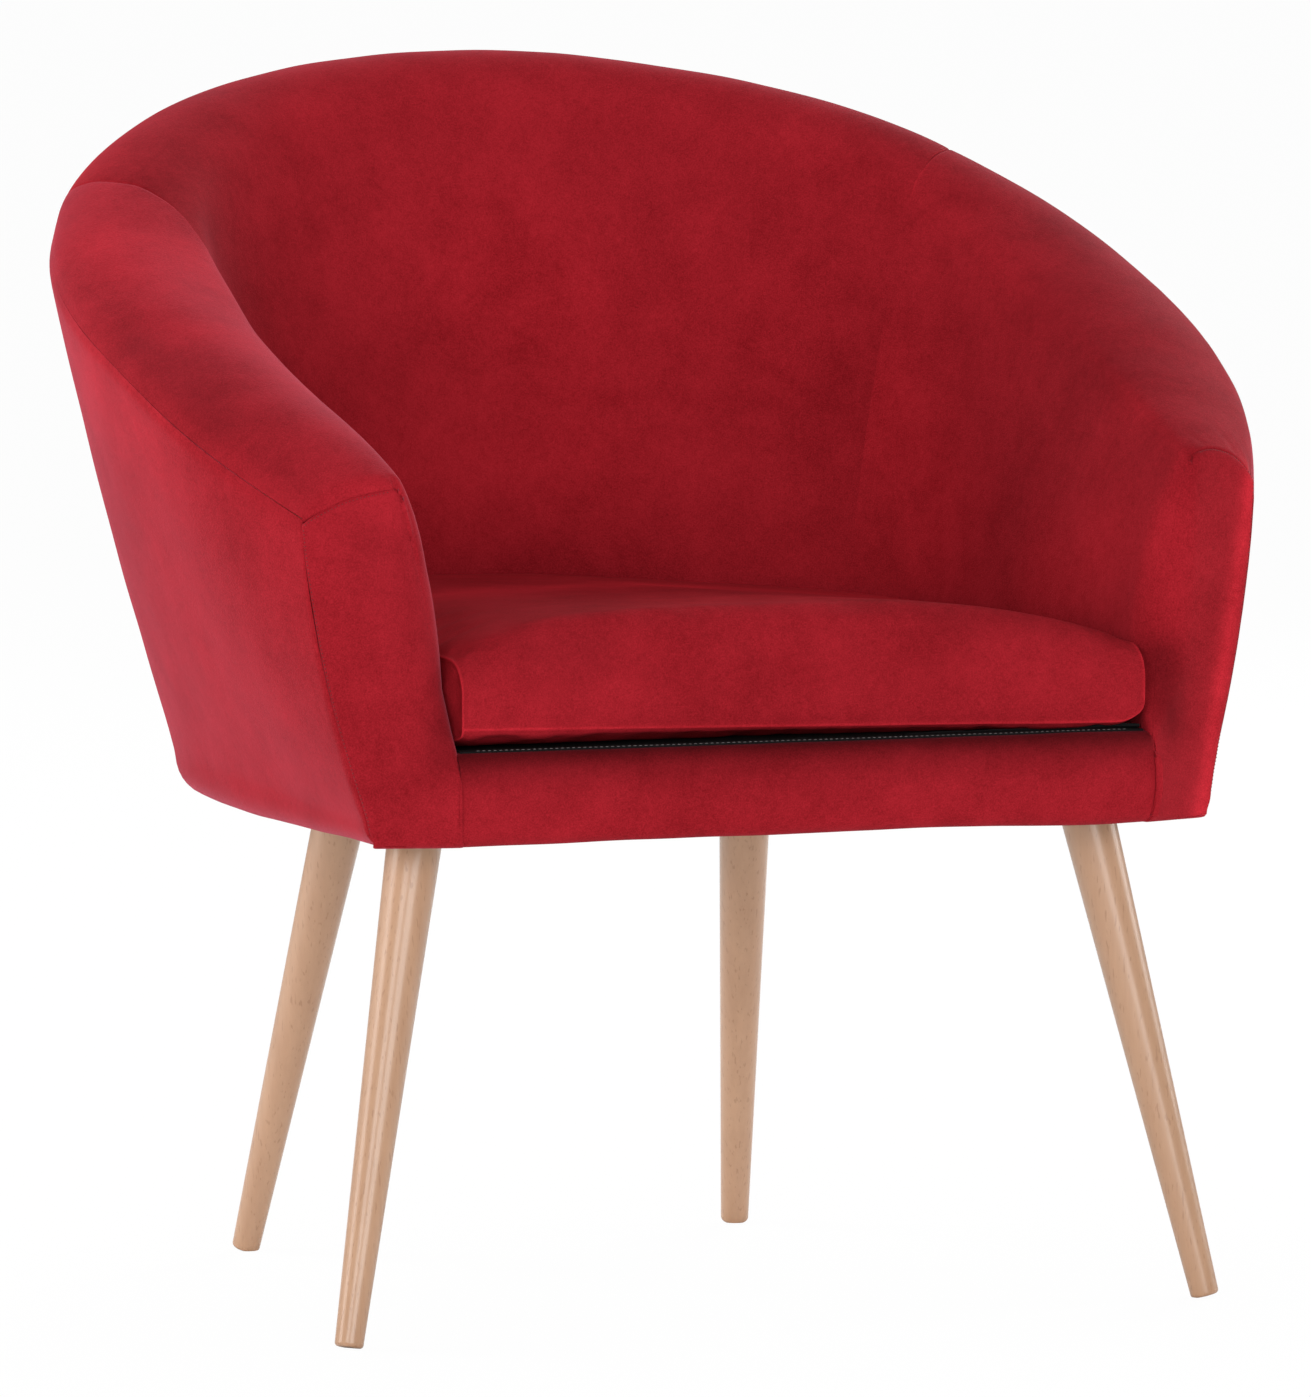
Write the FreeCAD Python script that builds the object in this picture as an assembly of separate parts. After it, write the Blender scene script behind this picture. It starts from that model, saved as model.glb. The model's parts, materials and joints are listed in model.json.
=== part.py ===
import FreeCAD, Part
import math
import os

# Upholstered tub armchair. Lengths are in millimetres.
# +Z is up, the front faces -Y, and left and right are as seen from the front.
# The origin is on the floor, midway between the front and the back.

V = FreeCAD.Vector

# The whole chair
half_depth = 315.0          # from the origin to the front and to the back
base_height = 315.0         # underside of the upholstery above the floor
deck_rise = 56.0            # top of the black platform above the underside
arm_height = 518.0          # outer edge of the rim at the arm fronts
back_height = 742.0         # outer edge of the rim at the middle of the back
seat_half_width = 236.0     # from the middle to the foot of the inside wall, at the front
seat_depth = 460.0          # from the foot of the inside back to the arm fronts
wall_foot = 94.0            # wall at the underside, at the middle of the back
rim_reach = 158.0           # how far the rim's outer edge overhangs the inside foot
rim_lean = 69.0             # how far the rim's inner edge overhangs the inside foot
rim_inner_rise = 21.0       # how much higher the rim's inner edge is at the arm front
rim_crown = 32.0            # how far the rim's top is rounded up, at the back
outer_bulge = 8.0           # fullness of the outside wall
inner_bulge = 11.0          # fullness of the inside wall
base_round = 24.0           # rounding where the outside turns under the chair

# Ribs 0 to 6, from the middle of the back round to the arm front
rib_x_shares = (0.0, 0.445, 0.77, 0.93, 0.985, 1.0, 1.0)
rib_y_shares = (0.0, 0.035, 0.16, 0.34, 0.555, 0.775, 1.0)
rib_swing_shares = (0.0, 0.31, 0.60, 0.845, 0.955, 0.89, 0.74)
foot_shares = (1.0, 0.96, 0.81, 0.57, 0.46, 0.455, 0.585)
reach_shares = (1.0, 0.995, 0.975, 0.99, 0.93, 0.83, 0.635)
lean_shares = (1.0, 0.95, 0.89, 0.84, 0.66, 0.52, 0.52)
rise_shares = (1.0, 0.94, 0.79, 0.562, 0.36, 0.19, 0.0)
tilt_shares = (0.14, 0.33, 0.43, 0.48, 0.52, 0.71, 1.0)
crown_shares = (1.0, 0.89, 0.79, 0.68, 0.57, 0.46, 0.36)
pad_shares = (1.0, 1.0, 1.0, 0.9, 0.75, 0.6, 0.5)
seam_station = 2.0              # the seams between the back and the arms run along this rib
front_station = 6.0
arm_stations = 8
back_stations = 9

# Layers, from the velvet inwards
cover_gauge = 3.0           # velvet with its backing
fit_gap = 0.3
wadding = 6.0               # soft layer outside the frame
top_pad = 14.0              # soft layer on the rim
back_pad_depth = 28.0       # foam of the inside back
facing_pad = 14.0           # foam of the arm fronts
facing_round_shares = (0.0, 0.04, 0.16, 0.42, 0.7, 1.0)    # depths of the sections that round its inner edge
facing_top_share = 0.4      # how much of that rounding is left at the top
board = 3.0                 # hardboard linings
turn_under = 8.0            # velvet turned in flat under the chair
tuck = 13.0                 # how far the inside velvet goes down behind the platform

# Timber
rail_thick = 22.0
rail_under = 18.0           # top of the rails below the platform's top
rail_chamfer = 7.0
top_rail_deep = 26.0
post_clear = 2.5
post_half_width = 16.0
front_post_half_width = 11.0
front_post_set = 46.0
front_post_clear = 9.5        # the arm front's curve brings the boards nearer
post_stations = (4.0, 2.25, 0.75)
post_names = ("side_post", "corner_post", "back_post")

# Seat platform
strap_width = 60.0
strap_gauge = 1.5
strap_spacing = 96.0
strap_lap = 7.0             # how far the straps lie on the rails
long_straps = 4
cross_straps = 3
deck_cloth_gauge = 1.0
deck_clear = 2.5
front_rail_bow = 12.0
front_rail_low = 1.0         # front rail's velvet below the platform's top
front_rail_soft = 8.0
front_rail_over = 10.5      # velvet that runs back over the front rail, up to the black cloth
front_rail_under = 34.0     # velvet that runs back under it, and the foam on it
front_edge_round = 9.0
front_base_round = 12.0
front_rail_clear = 1.5
front_rail_stop = 8.0       # the timber stops short of the arm fronts by this much
rail_stations = 5

# Legs: where their axes meet the underside, and how far they splay down to the floor
leg_front_in = 5.0          # from the foot of the inside wall
leg_front_behind = 87.0     # from the arm fronts
leg_front_splay = (65.0, -45.0)
leg_rear_in = 95.0
leg_rear_before = 51.0      # from the foot of the inside back
leg_rear_splay = (34.0, 93.0)
leg_top_radius = 17.5
leg_foot_radius = 9.0
foot_round = 2.5
foot_flat = 0.8             # the foot's low edge is sanded flat by this much
bolt_radius = 4.0
bolt_in_leg = 32.0
bolt_in_block = 24.0
bolt_end_gap = 1.0
insert_wall = 2.0
insert_length = 20.0
thread_gap = 0.15
block_half_width = 40.0
dust_cloth = 1.0
dust_gap = 0.2
dust_overlap = 5.0
leg_clear = 1.5

# Loose cushion
cushion_clear = 4.5
cushion_edge = 62.0         # thickness at its edges
cushion_crown = 24.0
cushion_bend_shares = ((0.915, 0.47), (0.81, 0.79))     # out and up, where its shoulders bend
cushion_crown_shares = (1.0, 1.0, 1.0, 1.0, 0.95, 0.85, 0.7)
cushion_last_crown_share = 0.5
cushion_swell = 6.0         # fullness of its side
cushion_front_set = 9.0
cushion_front_round = 14.0  # how far back its front is rounded
cushion_front_shares = ((0.0, 1.0), (0.35, 0.36), (1.0, 0.0))   # depth and drawing-in of that rounding
cushion_stations = (5.4, 4.7, 4.0, 3.3, 2.6, 2.0, 1.4)
cushion_last_station = 0.8

whole = 1.0
half = 0.5
peak = 4.0                  # brings u times one less u up to one at its middle
arc_middle_share = 1.0 - math.sqrt(half)
right_angle = 90.0
overrun = 60.0

deck_height = base_height + deck_rise
rail_top = deck_height - rail_under
front_rail_height = deck_height - front_rail_low
foam_top = deck_height - deck_cloth_gauge - fit_gap
rib_pitch = seat_depth * (rib_y_shares[-1] - rib_y_shares[-2])
foot_y = half_depth - rim_reach
outside_layers = cover_gauge + wadding + board + 3 * fit_gap
facing_depth = cover_gauge + facing_pad + 2 * fit_gap
frame_base = base_height + cover_gauge + fit_gap


def through(shares, odd=False):
    # A smooth curve through a table of rib values, mirrored to the left side
    points = []
    count = len(shares)
    for k in range(1 - count, count):
        side = -1 if odd and k < 0 else 1
        points.append(V(k, shares[abs(k)] * side, 0))
    curve = Part.BSplineCurve()
    curve.interpolate(Points=points, Parameters=[point.x for point in points])
    return curve


x_curve = through(rib_x_shares, True)
y_curve = through(rib_y_shares)
swing_curve = through(rib_swing_shares, True)
foot_curve = through(foot_shares)
reach_curve = through(reach_shares)
lean_curve = through(lean_shares)
rise_curve = through(rise_shares)
tilt_curve = through(tilt_shares)
crown_curve = through(crown_shares)
pad_curve = through(pad_shares)


def foot_at(station):
    x = x_curve.value(station).y * seat_half_width
    return V(x, foot_y - y_curve.value(station).y * seat_depth, 0)


class Rib:
    # An upright section through the tub: where it stands, its direction and its outline.
    # A rib with a setback stands that far behind the arm front, parallel to it.

    def __init__(self, station, setback=None):
        side = math.copysign(whole, station)
        front = side * front_station
        swing = swing_curve.value(station if setback is None else front).y
        angle = math.radians(right_angle - swing * right_angle)
        self.out = V(math.cos(angle), math.sin(angle), 0)
        self.along = V(-self.out.y, self.out.x, 0)
        if setback is not None:
            station = side * (front_station - setback / rib_pitch / abs(self.along.y))
        self.foot = foot_at(station)
        self.bottom = foot_curve.value(station).y * wall_foot
        self.reach = reach_curve.value(station).y * rim_reach
        self.lean = lean_curve.value(station).y * rim_lean
        self.rim_z = arm_height + rise_curve.value(station).y * (back_height - arm_height)
        self.inner_z = self.rim_z + tilt_curve.value(station).y * rim_inner_rise
        self.crown = crown_curve.value(station).y * rim_crown
        self.pad = pad_curve.value(station).y * back_pad_depth

    def at(self, offset, height, along=0):
        spot = self.foot + self.out * offset + self.along * along
        return V(spot.x, spot.y, height)

    def outer(self, height, inset=0):
        u = (height - base_height) / (self.rim_z - base_height)
        full = outer_bulge * peak * u * (1 - u)
        return self.bottom + (self.reach - self.bottom) * u + full - inset

    def inner(self, height, inset=0):
        u = (height - deck_height) / (self.inner_z - deck_height)
        full = inner_bulge * peak * u * (1 - u)
        return self.lean * u - full + inset

    def outer_point(self, height, inset=0):
        return self.at(self.outer(height, inset), height)

    def inner_point(self, height, inset=0):
        return self.at(self.inner(height, inset), height)

    def outer_arc(self, start, end, inset=0):
        middle = (start + end) * half
        return (self.outer_point(middle, inset), self.outer_point(end, inset))

    def inner_arc(self, start, end, inset=0):
        middle = (start + end) * half
        return (self.inner_point(middle, inset), self.inner_point(end, inset))

    def crown_arc(self, inset, outwards):
        outside = self.at(self.outer(self.rim_z - inset, inset), self.rim_z - inset)
        inside = self.at(self.inner(self.inner_z - inset, inset), self.inner_z - inset)
        top = (outside + inside) * half + V(0, 0, self.crown)
        return (top, outside) if outwards else (top, inside)


def ring(start, *steps):
    # A closed wire: a step is a point for a line, or a middle point and a point for an arc.
    # Unless the last arc ends at the start, a line closes it.
    edges = []
    here = start
    closed = isinstance(steps[-1], tuple) and steps[-1][1] == start
    for step in steps if closed else steps + (start,):
        if isinstance(step, tuple):
            edges.append(Part.Arc(here, step[0], step[1]).toShape())
            here = step[1]
        else:
            edges.append(Part.LineSegment(here, step).toShape())
            here = step
    return Part.Wire(edges)


def loft(wires, ruled=False):
    solid = Part.makeLoft(wires, True, ruled)
    if solid.Volume < 0:
        solid.reverse()
    return solid


def spread(first, last, count):
    return [first + (last - first) * k / (count - 1) for k in range(count)]


def arm_ribs(side):
    gap = fit_gap * half / rib_pitch
    last = front_station - facing_depth / rib_pitch
    stations = spread(seam_station + gap, last, arm_stations)
    ribs = [Rib(side * s) for s in stations[:-1]]
    ribs.append(Rib(side, facing_depth))
    return ribs


def back_ribs():
    gap = fit_gap * half / rib_pitch
    return [Rib(s) for s in spread(gap - seam_station, seam_station - gap, back_stations)]


# Wall sections

def inside_velvet(rib):
    low = deck_height - tuck
    edge_z = rib.rim_z - cover_gauge
    inner_top = rib.inner_z - cover_gauge
    return ring(
        rib.inner_point(low),
        rib.inner_arc(low, rib.inner_z),
        rib.crown_arc(0, True),
        rib.outer_point(edge_z),
        rib.outer_point(edge_z, cover_gauge),
        rib.crown_arc(cover_gauge, False),
        rib.inner_arc(inner_top, low, cover_gauge))


def outside_velvet(rib):
    high = rib.rim_z - cover_gauge - fit_gap
    low = base_height + base_round
    bend = rib.outer(low)
    flat = bend - base_round
    nip = base_round * arc_middle_share
    inner_nip = (base_round - cover_gauge) * arc_middle_share
    lining = base_height + cover_gauge
    return ring(
        rib.outer_point(high),
        rib.outer_arc(high, low),
        (rib.at(bend - nip, base_height + nip), rib.at(flat, base_height)),
        rib.at(flat - turn_under, base_height),
        rib.at(flat - turn_under, lining),
        rib.at(flat, lining),
        (rib.at(bend - cover_gauge - inner_nip, lining + inner_nip), rib.outer_point(low, cover_gauge)),
        rib.outer_arc(low, high, cover_gauge))


def wall_foam(rib):
    skin = cover_gauge + fit_gap
    low = deck_height - tuck
    low_out = base_height + base_round
    high_out = rib.rim_z - skin - top_pad
    high_in = rib.inner_z - skin - top_pad
    return ring(
        rib.inner_point(low, skin),
        rib.inner_arc(low, rib.inner_z - skin, skin),
        rib.crown_arc(skin, True),
        rib.outer_arc(rib.rim_z - skin, low_out, skin),
        rib.outer_point(low_out, skin + wadding),
        rib.outer_arc(low_out, high_out, skin + wadding),
        rib.inner_point(high_in, skin + rib.pad),
        rib.inner_arc(high_in, low, skin + rib.pad))


def under_pad(rib, offset_from_outside, offset_from_inside):
    # A point under the foam on the rim, that far in from the outside or from the inside
    under = cover_gauge + fit_gap + top_pad
    out_z = rib.rim_z - under
    in_z = rib.inner_z - under
    out_a = rib.outer(out_z, cover_gauge + fit_gap + wadding)
    in_a = rib.inner(in_z, cover_gauge + fit_gap + rib.pad)
    if offset_from_inside is None:
        a = rib.outer(out_z, offset_from_outside)
    else:
        a = rib.inner(in_z, offset_from_inside)
    share = (a - out_a) / (in_a - out_a)
    return a, out_z + (in_z - out_z) * share - fit_gap


def inside_lining(rib):
    low = rail_top + 2 * strap_gauge + 3 * fit_gap
    near = cover_gauge + rib.pad + 2 * fit_gap
    high = under_pad(rib, None, near + board)[1]
    return ring(
        rib.inner_point(low, near),
        rib.inner_arc(low, high, near),
        rib.inner_point(high, near + board),
        rib.inner_arc(high, low, near + board))


def outside_lining(rib):
    low = base_height + base_round
    near = cover_gauge + wadding + 2 * fit_gap
    high = under_pad(rib, near, None)[1]
    return ring(
        rib.outer_point(low, near),
        rib.outer_arc(low, high, near),
        rib.outer_point(high, near + board),
        rib.outer_arc(high, low, near + board))


def frame_inside(rib, height, clear=0):
    return rib.inner(height, cover_gauge + rib.pad + board + 3 * fit_gap + clear)


def frame_outside(rib, height, clear=0):
    return rib.outer(height, outside_layers + clear)


def top_rail(rib):
    out_z = under_pad(rib, outside_layers, None)[1]
    in_z = under_pad(rib, None, cover_gauge + rib.pad + board + 4 * fit_gap)[1]
    low_out = out_z - top_rail_deep
    low_in = in_z - top_rail_deep
    return ring(
        rib.at(frame_outside(rib, out_z), out_z),
        rib.at(frame_outside(rib, low_out), low_out),
        rib.at(frame_inside(rib, low_in, fit_gap), low_in),
        rib.at(frame_inside(rib, in_z, fit_gap), in_z))


def base_rail(rib):
    near = rib.bottom - outside_layers
    far = near - rail_thick
    return ring(
        rib.at(near - rail_chamfer, frame_base),
        rib.at(near, frame_base + rail_chamfer),
        rib.at(near, rail_top),
        rib.at(far, rail_top),
        rib.at(far, frame_base))


def edge_draw(radius, depth):
    # How far a rounded inner edge is drawn in at a depth behind the front
    wedge = math.radians(right_angle * rib_swing_shares[-1])
    reach = math.sqrt(max(radius ** 2 - (radius - depth) ** 2, 0))
    return max(radius / math.tan(wedge * half) - reach - depth / math.tan(wedge), 0)


def facing(rib, inset, draw):
    # The outline of an arm front, whose inner edge is drawn in above the platform
    middle = (deck_height + rib.inner_z - inset) * half
    high = rib.inner_z - inset
    outside = rib.outer_point(rib.rim_z - inset, inset)
    inside = rib.at(rib.inner(high, inset) + draw * facing_top_share, high)
    top = (outside + inside) * half + V(0, 0, rib.crown)
    low = base_height + base_round
    base = base_height + inset
    bend = rib.outer(low)
    flat = bend - base_round
    nip = (base_round - inset) * arc_middle_share
    return ring(
        rib.at(inset, base),
        rib.inner_point(deck_height, inset),
        (rib.at(rib.inner(middle, inset) + draw, middle), inside),
        (top, outside),
        rib.outer_arc(rib.rim_z - inset, low, inset),
        (rib.at(bend - inset - nip, base + nip), rib.at(flat, base)))


def facing_slab(side, inset, near, far):
    wedge = math.radians(right_angle * rib_swing_shares[-1])
    radius = (facing_depth - fit_gap) / (1 + math.cos(wedge)) - near
    wires = []
    for share in facing_round_shares:
        depth = (far - near) * share
        wires.append(facing(Rib(side, near + depth), inset, edge_draw(radius, depth)))
    return loft(wires)


def post(rib, width, rail, clear=post_clear):
    # The post runs a little way into the rail above, and is what stands under that rail
    low = rail_top + fit_gap
    under = cover_gauge + top_pad + 2 * fit_gap + top_rail_deep * half
    top_out = rib.rim_z - under
    top_in = rib.inner_z - under
    near = frame_outside(rib, low, clear)
    far = max(near - rail_thick + clear, frame_inside(rib, low, clear))
    out_a = frame_outside(rib, top_out, clear)
    in_a = frame_inside(rib, top_in, clear)
    wires = []
    for ends in (((near, low), (far, low)), ((out_a, top_out), (in_a, top_in))):
        (a1, z1), (a2, z2) = ends
        wires.append(ring(
            rib.at(a1, z1, -width),
            rib.at(a1, z1, width),
            rib.at(a2, z2, width),
            rib.at(a2, z2, -width)))
    return max(loft(wires, True).cut(rail).Solids, key=lambda solid: solid.Volume)


def plan_block(inset_from_outside, inset_from_inside, low, high):
    # Everything inside the tub's plan at one level, running out past the front.
    # The plan is set in from the wall's outside or, where given, from the inside foot.
    points = []
    for s in spread(-front_station, front_station, 2 * back_stations + 1):
        rib = Rib(s)
        if inset_from_inside is None:
            points.append(rib.at(rib.bottom - inset_from_outside, low))
        else:
            points.append(rib.at(-inset_from_inside, low))
    curve = Part.BSplineCurve()
    curve.interpolate(points)
    first = points[0]
    last = points[-1]
    ahead = V(0, -overrun, 0)
    edges = [
        curve.toShape(),
        Part.LineSegment(last, last + ahead).toShape(),
        Part.LineSegment(last + ahead, first + ahead).toShape(),
        Part.LineSegment(first + ahead, first).toShape()]
    return Part.Face(Part.Wire(edges)).extrude(V(0, 0, high - low))


def block(x1, x2, y1, y2, z1, z2):
    return Part.makeBox(x2 - x1, y2 - y1, z2 - z1, V(x1, y1, z1))


# Front rail

front_corner = foot_y - seat_depth
rail_front = front_corner + cover_gauge + front_rail_soft + 2 * fit_gap
rail_back = rail_front + rail_thick
rail_soft_end = front_corner + front_rail_under


def rail_nose(x):
    # The front of the rail's velvet, which bows forward between the arms
    return front_corner - front_rail_bow * (1 - (x / seat_half_width) ** 2)


def rail_velvet(x):
    y = rail_nose(x)
    top = front_rail_height
    nip = front_edge_round * arc_middle_share
    low_nip = front_base_round * arc_middle_share
    lining = front_edge_round - cover_gauge
    low_lining = front_base_round - cover_gauge
    inner_nip = lining * arc_middle_share + cover_gauge
    inner_low_nip = low_lining * arc_middle_share + cover_gauge
    return ring(
        V(x, y + front_rail_over, top),
        V(x, y + front_edge_round, top),
        (V(x, y + nip, top - nip), V(x, y, top - front_edge_round)),
        V(x, y, base_height + front_base_round),
        (V(x, y + low_nip, base_height + low_nip), V(x, y + front_base_round, base_height)),
        V(x, rail_soft_end, base_height),
        V(x, rail_soft_end, base_height + cover_gauge),
        V(x, y + front_base_round, base_height + cover_gauge),
        (V(x, y + inner_low_nip, base_height + inner_low_nip),
         V(x, y + cover_gauge, base_height + front_base_round)),
        V(x, y + cover_gauge, top - front_edge_round),
        (V(x, y + inner_nip, top - inner_nip), V(x, y + front_edge_round, top - cover_gauge)),
        V(x, y + front_rail_over, top - cover_gauge))


def rail_foam(x):
    y = rail_nose(x) + cover_gauge + fit_gap
    step = rail_nose(x) + front_rail_over + fit_gap
    top = front_rail_height - cover_gauge - fit_gap
    round_top = front_edge_round - cover_gauge
    nip = round_top * arc_middle_share
    low = base_height + front_base_round
    near = rail_front - fit_gap
    over = rail_top + strap_gauge + 2 * fit_gap
    return ring(
        V(x, rail_soft_end, foam_top),
        V(x, step, foam_top),
        V(x, step, top),
        V(x, y + round_top, top),
        (V(x, y + nip, top - nip), V(x, y, top - round_top)),
        V(x, y, low),
        V(x, near, low),
        V(x, near, over),
        V(x, rail_soft_end, over))


def cloth_room():
    # The space behind the front rail's velvet, whose back edge the platform's cloth meets
    back = front_rail_over + fit_gap
    corners = [V(x, rail_nose(x) + back, 0) for x in (-seat_half_width, 0, seat_half_width)]
    left_back = V(-seat_half_width, half_depth, 0)
    right_back = V(seat_half_width, half_depth, 0)
    wire = ring(corners[0], (corners[1], corners[2]), right_back, left_back)
    return Part.Face(wire).extrude(V(0, 0, back_height))


def across(section, half_length):
    return loft([section(x) for x in spread(-half_length, half_length, rail_stations)])


# Legs

leg_front_top = (seat_half_width - leg_front_in, front_corner + leg_front_behind)
leg_rear_top = (seat_half_width - leg_rear_in, foot_y - leg_rear_before)


def leg_parts(top, splay, side):
    up = V(-splay[0] * side, -splay[1], base_height).normalize()
    lean = math.sqrt(1 - up.z ** 2)
    foot_z = (leg_foot_radius - foot_round) * lean + foot_round * (1 - up.z) - foot_flat
    length = (base_height - foot_z) / up.z
    meet = V(top[0] * side, top[1], base_height)
    start = meet - up * length
    taper = (leg_top_radius - leg_foot_radius) / length
    stock = length + leg_top_radius
    wood = Part.makeCone(leg_foot_radius, leg_foot_radius + taper * stock, stock, start, up)
    rim = [edge for edge in wood.Edges if len(edge.Vertexes) == 1 and edge.BoundBox.ZMax < base_height * half]
    wood = wood.makeFillet(foot_round, rim)
    slab = block(-half_depth * 2, half_depth * 2, -half_depth * 2, half_depth * 2, 0, frame_base - fit_gap)
    wood = wood.common(slab)
    seat = meet + up * ((frame_base - base_height) / up.z)
    bore = Part.makeCylinder(bolt_radius + thread_gap, bolt_in_leg + bolt_end_gap + overrun,
                             seat - up * (bolt_in_leg + bolt_end_gap), up)
    bolt = Part.makeCylinder(bolt_radius, bolt_in_leg + bolt_in_block, seat - up * bolt_in_leg, up)
    insert_radius = bolt_radius + thread_gap + insert_wall
    sleeve = Part.makeCylinder(insert_radius, insert_length + insert_radius, seat - up * insert_radius, up)
    hole = Part.makeCylinder(insert_radius, overrun * 2, seat - up * overrun, up)
    above = block(-half_depth, half_depth, -half_depth, half_depth, frame_base, rail_top)
    sleeve = sleeve.cut(bore).common(above)
    return wood.cut(bore), bolt, sleeve, hole, meet, up


# Cushion

def cushion_section(station, inset, y, crown_share, draw=0):
    # The draw takes the sides and the top in, and leaves the flat underside where it is
    w = foot_at(station).x - cushion_clear - draw
    low = deck_height + fit_gap + inset
    edge = deck_height + fit_gap + cushion_edge - inset - draw
    crown = cushion_crown * crown_share
    middle = (low + edge) * half
    shoulder = w - cushion_swell - inset
    bends = [(shoulder * out, edge + crown * up) for out, up in cushion_bend_shares]
    (x1, z1), (x2, z2) = bends
    return ring(
        V(-shoulder, y, low),
        V(shoulder, y, low),
        (V(w - inset, y, middle), V(shoulder, y, edge)),
        (V(x1, y, z1), V(x2, y, z2)),
        (V(0, y, edge + crown), V(-x2, y, z2)),
        (V(-x1, y, z1), V(-shoulder, y, edge)),
        (V(inset - w, y, middle), V(-shoulder, y, low)))


def cushion_form(inset):
    front = front_corner + cushion_front_set + inset
    wires = []
    for depth, draw in cushion_front_shares:
        y = front + depth * cushion_front_round
        wires.append(cushion_section(front_station, inset, y, whole, draw * cushion_swell))
    for station, crown_share in zip(cushion_stations, cushion_crown_shares):
        wires.append(cushion_section(station, inset, foot_at(station).y - cushion_clear, crown_share))
    back = foot_at(cushion_last_station).y - cushion_clear - inset
    wires.append(cushion_section(cushion_last_station, inset, back, cushion_last_crown_share))
    return loft(wires)


# The pieces

pieces = {}
sides = (("left", -1), ("right", 1))

lining_gap = outside_layers + rail_thick

for name, side in sides:
    ribs = arm_ribs(side)
    pieces["arm_cover_" + name] = loft([inside_velvet(r) for r in ribs])
    pieces["outside_cover_" + name] = loft([outside_velvet(r) for r in ribs])
    pieces["arm_pad_" + name] = loft([wall_foam(r) for r in ribs])
    pieces["inside_board_" + name] = loft([inside_lining(r) for r in ribs])
    pieces["outside_board_" + name] = loft([outside_lining(r) for r in ribs])
    pieces["top_rail_" + name] = loft([top_rail(r) for r in ribs])
    pieces["base_rail_" + name] = loft([base_rail(r) for r in ribs])
    skin = cover_gauge + fit_gap
    cap = facing_slab(side, 0, 0, facing_depth - fit_gap)
    hollow = facing_slab(side, cover_gauge, cover_gauge, facing_depth)
    pieces["arm_front_cover_" + name] = cap.cut(hollow)
    pieces["arm_front_pad_" + name] = facing_slab(side, skin, skin, skin + facing_pad)

back = back_ribs()
pieces["back_cover"] = loft([inside_velvet(r) for r in back])
pieces["outside_cover_back"] = loft([outside_velvet(r) for r in back])
pieces["back_pad"] = loft([wall_foam(r) for r in back])
pieces["inside_board_back"] = loft([inside_lining(r) for r in back])
pieces["outside_board_back"] = loft([outside_lining(r) for r in back])
pieces["top_rail_back"] = loft([top_rail(r) for r in back])
pieces["base_rail_back"] = loft([base_rail(r) for r in back])

for name, side in sides:
    arm_rail = pieces["top_rail_" + name]
    front = Rib(side * (front_station - front_post_set / rib_pitch))
    pieces["front_post_" + name] = post(front, front_post_half_width, arm_rail, front_post_clear)
    for post_name, station in zip(post_names, post_stations):
        rail = arm_rail if station > seam_station else pieces["top_rail_back"]
        pieces[post_name + "_" + name] = post(Rib(side * station), post_half_width, rail)

rail_length = seat_half_width - front_rail_clear
frame_room = plan_block(lining_gap, None, frame_base, rail_top)
timber_end = seat_half_width - front_rail_stop
pieces["front_rail"] = block(-timber_end, timber_end, rail_front, rail_back, frame_base, rail_top)
pieces["front_rail_cover"] = across(rail_velvet, rail_length)
pieces["front_rail_pad"] = across(rail_foam, rail_length)

bolts = []
sleeves = []
leg_holes = []
leg_places = (("front", leg_front_top, leg_front_splay), ("rear", leg_rear_top, leg_rear_splay))
for name, side in sides:
    for end, top, splay in leg_places:
        wood, bolt, sleeve, hole, meet, up = leg_parts(top, splay, side)
        pieces["leg_" + end + "_" + name] = wood
        bolts.append(bolt)
        sleeves.append(sleeve)
        reach = leg_top_radius + leg_clear
        leg_holes.append(Part.makeCylinder(reach, reach * 2, meet - up * reach, up))
        x1 = meet.x - block_half_width
        x2 = meet.x + block_half_width
        y1 = meet.y - block_half_width
        y2 = meet.y + block_half_width
        if end == "front":
            y1 = rail_back
        corner = block(x1, x2, y1, y2, frame_base, rail_top).common(frame_room)
        corner = corner.cut(pieces["base_rail_" + name]).cut(pieces["base_rail_back"])
        pieces["corner_block_" + end + "_" + name] = corner.cut(hole)
pieces["leg_bolts"] = Part.makeCompound(bolts)
pieces["threaded_inserts"] = Part.makeCompound(sleeves)

strap_low = rail_top + fit_gap
strap_room = plan_block(lining_gap - strap_lap, None, strap_low, strap_low + overrun)
straps = []
for k in range(long_straps):
    x = (k - (long_straps - 1) * half) * strap_spacing
    strap = block(x - strap_width * half, x + strap_width * half, rail_back - 2 * strap_lap,
                  half_depth, strap_low, strap_low + strap_gauge)
    straps.append(strap.common(strap_room))
pieces["straps_lengthwise"] = Part.makeCompound(straps)
strap_low = strap_low + strap_gauge + fit_gap
straps = []
for k in range(cross_straps):
    y = (k - (cross_straps - 1) * half) * strap_spacing - strap_spacing * half
    strap = block(-half_depth, half_depth, y - strap_width * half, y + strap_width * half,
                  strap_low, strap_low + strap_gauge)
    straps.append(strap.common(strap_room))
pieces["straps_crosswise"] = Part.makeCompound(straps)

foam_low = strap_low + strap_gauge + fit_gap
front_cut = block(-half_depth, half_depth, rail_soft_end + fit_gap, half_depth, 0, back_height)
pieces["deck_pad"] = plan_block(0, deck_clear, foam_low, foam_top).common(front_cut)
pieces["deck_cloth"] = plan_block(0, deck_clear, foam_top + fit_gap, deck_height).common(cloth_room())

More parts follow.
